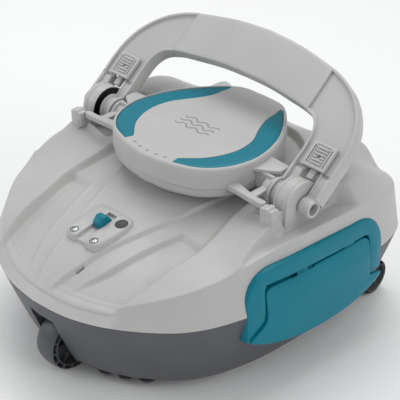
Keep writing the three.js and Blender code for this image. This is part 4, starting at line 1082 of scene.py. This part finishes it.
hinge = {
    "y": -7, "z": 170, "block": (126, 142.5), "radius": 22.5, "pin": 4.5,
    "horn": [(78, -26), (88, -30), (100, -33), (112, -35), (124, -35.5), (124, -41), (112, -41.4), (102, -41),
        (90, -40), (74, -38)],
    "fin": [(80, -16), (95, -8), (106, -1), (108, 2), (108, 14), (80, 16)],
}
onHinge = (0, hinge["y"], hinge["z"])
for name, side in bothHands:
    x0, x1 = hinge["block"]
    r, y, z = hinge["radius"], hinge["y"], hinge["z"]
    body = [
        drum(r - 0.7, x0, x1, onHinge, bevel=0.5, count=96),
        drum(r, x0, x0 + 2.2, onHinge, bevel=0.5, count=96),
        drum(r, x1 - 5.2, x1 - 3.6, onHinge, bevel=0.5, count=96),
        block((x0 + 0.3, x1 - 0.3), (y - 21.6, y + 21.6), (134, z), 0.8),
        block((x0 + 2, x1 - 4), (-48, -24), (134, 169.5), 1.2),
        block((x0 - 0.6, x1 - 1.6), (-46.6, -36.4), (160, 176.6), 1.6, 3),
        block((x0 + 4.5, x1 - 6.5), (-47, -36), (160, 178), 1.0),
        block((x0 + 3, x1 - 5), (-46.1, -35.4), (164, 172), 0.8),
    ]
    bored = taken(carve(looseObject("blockBody", joined(body[:1])),
        [drum(hinge["pin"] + 0.3, 90, 170, onHinge)]))
    piece("hingeBlock." + name, handed(joined([bored] + body[1:]), side), shellGrey,
        stands=["hinge_block_" + name], sharp=38)
    horn = plate(evenly(throughPoints(hinge["horn"] + hinge["horn"][:1], 8), 90), 171, 177, 0.9, 3)
    fin = plate(softened(hinge["fin"], 3), 183, 187, 0.7, 2)
    arm = [
        horn, fin,
        drum(13, 106.8, 109.5, onHinge, bevel=0.5, count=80),
        drum(10.5, 100, 108, onHinge, bevel=0.5, count=64),
        block((82, 108), (y - 1.6, y + 1.6), (166, 184), 0.5),
        block((100.5, 109), (-36, y), (172.4, 175.6), 0.8),
    ]
    piece("sideArm." + name, handed(joined(arm), side), shellGrey, stands=["side_arm_" + name], sharp=38)
print("hinges made")


handle = {
    "lean": 39, "face": 6, "back": -9, "gripHalf": 91.5,
    "outer": [(158, 30), (158.5, 50), (156, 72), (147, 93), (128, 114), (104, 127), (74, 134.5), (38, 140.5),
        (0, 143)],
    "inner": [(111, 30), (111.5, 52), (110, 66), (103, 77), (88, 83), (62, 87), (32, 90.5), (0, 91.5)],
    "leg": {"inner": 111, "outer": 158, "rail": 13.5}, "flange": 3.2, "web": 3.0,
    "innerHub": (111, 124.5, 15), "outerHub": (144, 157, 8.5), "bore": 5.9,
    "slider": {"x": (121, 148), "r": (33, 59.5), "travel": 7, "ribs": 6, "stem": (126.5, 142.5),
        "stemTop": 50},
}
leaning = Matrix.Translation(onHinge) @ Matrix.Rotation(math.radians(handle["lean"]), 4, "X")


def edgeParts(rows, legCount, gripCount):  # an edge of the arch, split at the seam beside the grip
    line = throughPoints(rows, 24)
    cut = int(np.argmax(line[:, 0] < handle["gripHalf"]))
    seam = mix(line[cut - 1], line[cut],
        (line[cut - 1, 0] - handle["gripHalf"]) / (line[cut - 1, 0] - line[cut, 0]))
    return evenly(np.vstack([line[:cut], seam]), legCount), evenly(np.vstack([seam, line[cut:]]), gripCount)


outerLeg, outerGrip = edgeParts(handle["outer"], 60, 50)
innerLeg, innerGrip = edgeParts(handle["inner"], 60, 50)


# section rows are (from, how far in mm, height): from 0 the outer edge, from 1 the inner
def band(outer, inner, section):
    rings = []
    for a, b in zip(outer, inner):
        across = (b - a) / np.linalg.norm(b - a)
        rings.append([(*((a + across * v) if end == 0 else (b - across * v)), n) for end, v, n in section])
    return rings


def gripPart():
    h = handle
    f, b = h["face"], h["back"]
    section = [(0, 1.6, b), (0, 0.5, b + 0.5), (0, 0, b + 1.8), (0, 0, f - 2.2), (0, 0.5, f - 0.8),
        (0, 1.7, f - 0.15), (0, 4, f - 0.03),
               (0, 16, f), (1, 16, f), (1, 4, f - 0.03), (1, 1.7, f - 0.15), (1, 0.5, f - 0.8),
               (1, 0, f - 2.2), (1, 0, b + 1.8), (1, 0.5, b + 0.5), (1, 1.6, b),
               (1, 5, b + 0.1), (0, 5, b + 0.1)]
    half = band(outerGrip, innerGrip, section)
    other = [[(-x, r, n) for x, r, n in ring] for ring in half[-2::-1]]
    rings = half + other
    ends = [np.array(rings[0]), np.array(rings[-1])]
    for index, sign in ((0, 1), (-1, -1)):  # a small shadow gap at each seam
        ends[index][:, 0] -= sign * 0.35
        rings[index] = ends[index].tolist()
    return solid(*loft(rings, ends="cap"), 0.35, 2, 60)


def legBand():
    h = handle
    f, b, w, g = h["face"], h["back"], h["web"], h["flange"]
    section = [(0, 1.0, b), (0, 0.3, b + 0.3), (0, 0, b + 1.1), (0, 0, f - 1.2), (0, 0.35, f - 0.35),
        (0, 1.1, f), (0, g - 0.9, f), (0, g - 0.2, f - 0.4),
               (0, g, f - 1.2), (0, g + 0.1, w + 0.5), (0, g + 0.7, w), (1, g + 0.7, w),
               (1, g + 0.1, w + 0.5), (1, g, f - 1.2), (1, g - 0.2, f - 0.4),
               (1, g - 0.9, f), (1, 1.1, f), (1, 0.35, f - 0.35), (1, 0, f - 1.2), (1, 0, b + 1.1),
               (1, 0.3, b + 0.3), (1, 1.0, b),
               (1, g - 0.4, b), (1, g, b + 1), (1, g, w - 3), (0, g, w - 3), (0, g, b + 1), (0, g - 0.4, b)]
    return solid(*loft(band(outerLeg, innerLeg, section), ends="cap"))


def rail(x0, x1, lipSide, r0, r1):
    h = handle
    f, b, w, g = h["face"], h["back"], h["web"], h["flange"]
    base = block((x0 + 0.3, x1 - 0.3), (r0, r1), (b + 0.3, w), 0.5)
    lip = (x1 - g, x1) if lipSide > 0 else (x0, x0 + g)
    ridge = block(lip, (r0, r1), (b, f), 0.6, 3)
    edge = (x0, x0 + 1.6) if lipSide > 0 else (x1 - 1.6, x1)
    bead = block(edge, (r0 + 0.4, 33), (0, w + 1.0), 0.4)
    return [base, ridge, bead]


k = handle["slider"]
leg = handle["leg"]
for name, side in bothHands:
    x0, x1, r = handle["innerHub"]
    ox0, ox1, oR = handle["outerHub"]
    core = carve(looseObject("legBand", legBand()),
        [block((k["stem"][0] - 0.5, k["stem"][1] + 0.5), (29, k["stemTop"] + k["travel"] + 0.5), (-20, 20))])
    parts = [taken(core)]
    parts += rail(leg["inner"], leg["inner"] + leg["rail"], -1, 0, 34) + rail(leg["outer"] - leg["rail"],
        leg["outer"] - 0.05, 1, 7, 34)
    parts.append(block((k["stem"][0] - 4, k["stem"][1] + 4), (33, 62), (-9, -6.2), 0.3))
    bore = handle["bore"]
    tube = [(bore, ox0 + 1), (oR - 0.5, ox0), (oR, ox0 + 0.5), (oR, ox1 - 0.7), (oR - 0.6, ox1),
        (bore + 0.5, ox1), (bore, ox1 - 0.5)]
    ring = [(5.2, x0 + 1), (r - 0.6, x0), (r, x0 + 0.6), (r, x0 + 2.4), (r - 0.6, x0 + 3),
        (r - 2.6, x0 + 3.2), (r - 2.8, x1 - 2.6),
            (r - 0.6, x1 - 2.4), (r, x1 - 1.9), (r, x1 - 0.6), (r - 0.6, x1), (5.2, x1)]
    parts += [turned(tube, axis="x", count=72), turned(ring, axis="x", count=84)]
    piece("handleLeg." + name, handed(moved(joined(parts), leaning), side), shellGrey, "handle",
          ["handle_frame"] if side > 0 else (), sharp=38)
piece("handleGrip", moved(gripPart(), leaning), shellGrey, "handle", ["handle_grip"], sharp=38)
print("handle made")


def sliderPart():
    (x0, x1), (r0, r1) = k["x"], k["r"]
    face = carve(
        looseObject("face", block((x0 + 0.2, x1 - 0.2), (r0 + 0.2, r1 - 0.2), (3.6, 8), 0.7)),
        [block((x + 0.0, x + 1.3), (36, 55.4), (5, 12)) for x in (x0 + 3.0, x1 - 4.2)]
        + [block((x0 + 5.4, x1 - 5.4), (36, r1 - 2.6), (7.2, 12))],
    )
    rib = block((127.6, 141.4), (37.4, 38.9), (7, 8.9), 0.45)
    ribs = rowOf(rib, k["ribs"], (0, 3.15, 0))
    eye = [block((132.6, 136.2), (43.7, 46.9), (6.4, 12))]
    grips = taken(carve(looseObject("grips", ribs), eye))
    plateFace = taken(carve(face, [block((132.8, 136.0), (43.9, 46.7), (4.4, 12))]))
    stem = block(k["stem"], (35, k["stemTop"]), (-5, 4), 0.4)
    tooth = block((131, 138), (24, 36), (-3, 3), 0.8)
    return [plateFace, grips, stem, tooth]


for name, side in bothHands:
    piece("latchSlider." + name, handed(moved(joined(sliderPart()), leaning), side), shellGrey,
        "latch_" + name, ["latch_slider_" + name])
print("sliders made")


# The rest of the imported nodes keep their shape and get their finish.
kept = {
    "flap_pin": steel, "front_axle": steel, "rear_axle": steel, "pivot_pin": steel, "motor_can": steel,
    "latch_spring": steel,
    "intake_seat": innerGrey, "intake_valve": sealBlack, "filter_tray": innerGrey, "filter_mesh": screen,
    "lamp_guide": lampClear,
    "pod_seal": sealBlack, "battery_pack": cellWrap, "control_board": boardGreen, "pump_volute": innerGrey,
    "impeller": innerGrey,
    "outlet_pipe": innerGrey,
}
for name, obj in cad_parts.items():
    if obj.hide_render:
        continue
    for start, finish in kept.items():
        if name.startswith(start):
            obj.data.materials.clear()
            obj.data.materials.append(finish["material"])
print("packed nodes dressed")


view = {"target": (12.54, -10.37, 118), "azimuth": 45.3546, "elevation": 32.0371, "distance": 1268.135,
    "lens": 114.13}


def lookAt(obj, place, target):
    obj.location = place
    obj.rotation_euler = (Vector(target) - Vector(place)).to_track_quat("-Z", "Y").to_euler()


def studio():
    a, e = math.radians(view["azimuth"]), math.radians(view["elevation"])
    target = Vector(view["target"]) * mm + Vector((0, podShift, 0))
    back = Vector((math.sin(a) * math.cos(e), -math.cos(a) * math.cos(e), math.sin(e)))
    camera = bpy.data.objects.new("camera", bpy.data.cameras.new("camera"))
    camera.data.lens = view["lens"]
    camera.data.sensor_width = 36
    bpy.context.scene.collection.objects.link(camera)
    lookAt(camera, target + back * view["distance"] * mm, target)
    bpy.context.scene.camera = camera
    for name, place, size, power in (
        ("softboxOverhead", (-0.5, 0.5, 1.9), 1.5, 17),
        ("softboxLeft", (-1.5, -1.3, 1.1), 1.0, 6),
        ("softboxRight", (1.7, 0.1, 1.2), 0.9, 6),
    ):
        lamp = bpy.data.objects.new(name, bpy.data.lights.new(name, "AREA"))
        lamp.data.size = size
        lamp.data.energy = power
        bpy.context.scene.collection.objects.link(lamp)
        lookAt(lamp, place, (0, 0, 0.1))
    world = bpy.data.worlds.new("paleStudio")
    world.use_nodes = True
    world.node_tree.nodes["Background"].inputs["Color"].default_value = colour("#f4f6f7")
    world.node_tree.nodes["Background"].inputs["Strength"].default_value = 0.58
    bpy.context.scene.world = world
    bpy.context.scene.view_settings.view_transform = "Standard"


def paleFloor():
    material, tree = blank("paintedFloorWhite")
    where = addNode(tree, "ShaderNodeTexCoord").outputs["Object"]
    rough = spread(tree, noise(tree, where, 400), 0.7, 0.85)
    shader = addNode(tree, "ShaderNodeBsdfPrincipled", {"Base Color": colour("#fbfbfb"), "Roughness": rough})
    addNode(tree, "ShaderNodeOutputMaterial", {"Surface": shader.outputs[0]})
    floor = looseObject("floor", block((-6000, 6000), (-6000, 6000), (-20, 0)))
    floor.data.materials.append(material)


studio()
paleFloor()
print("scene done")
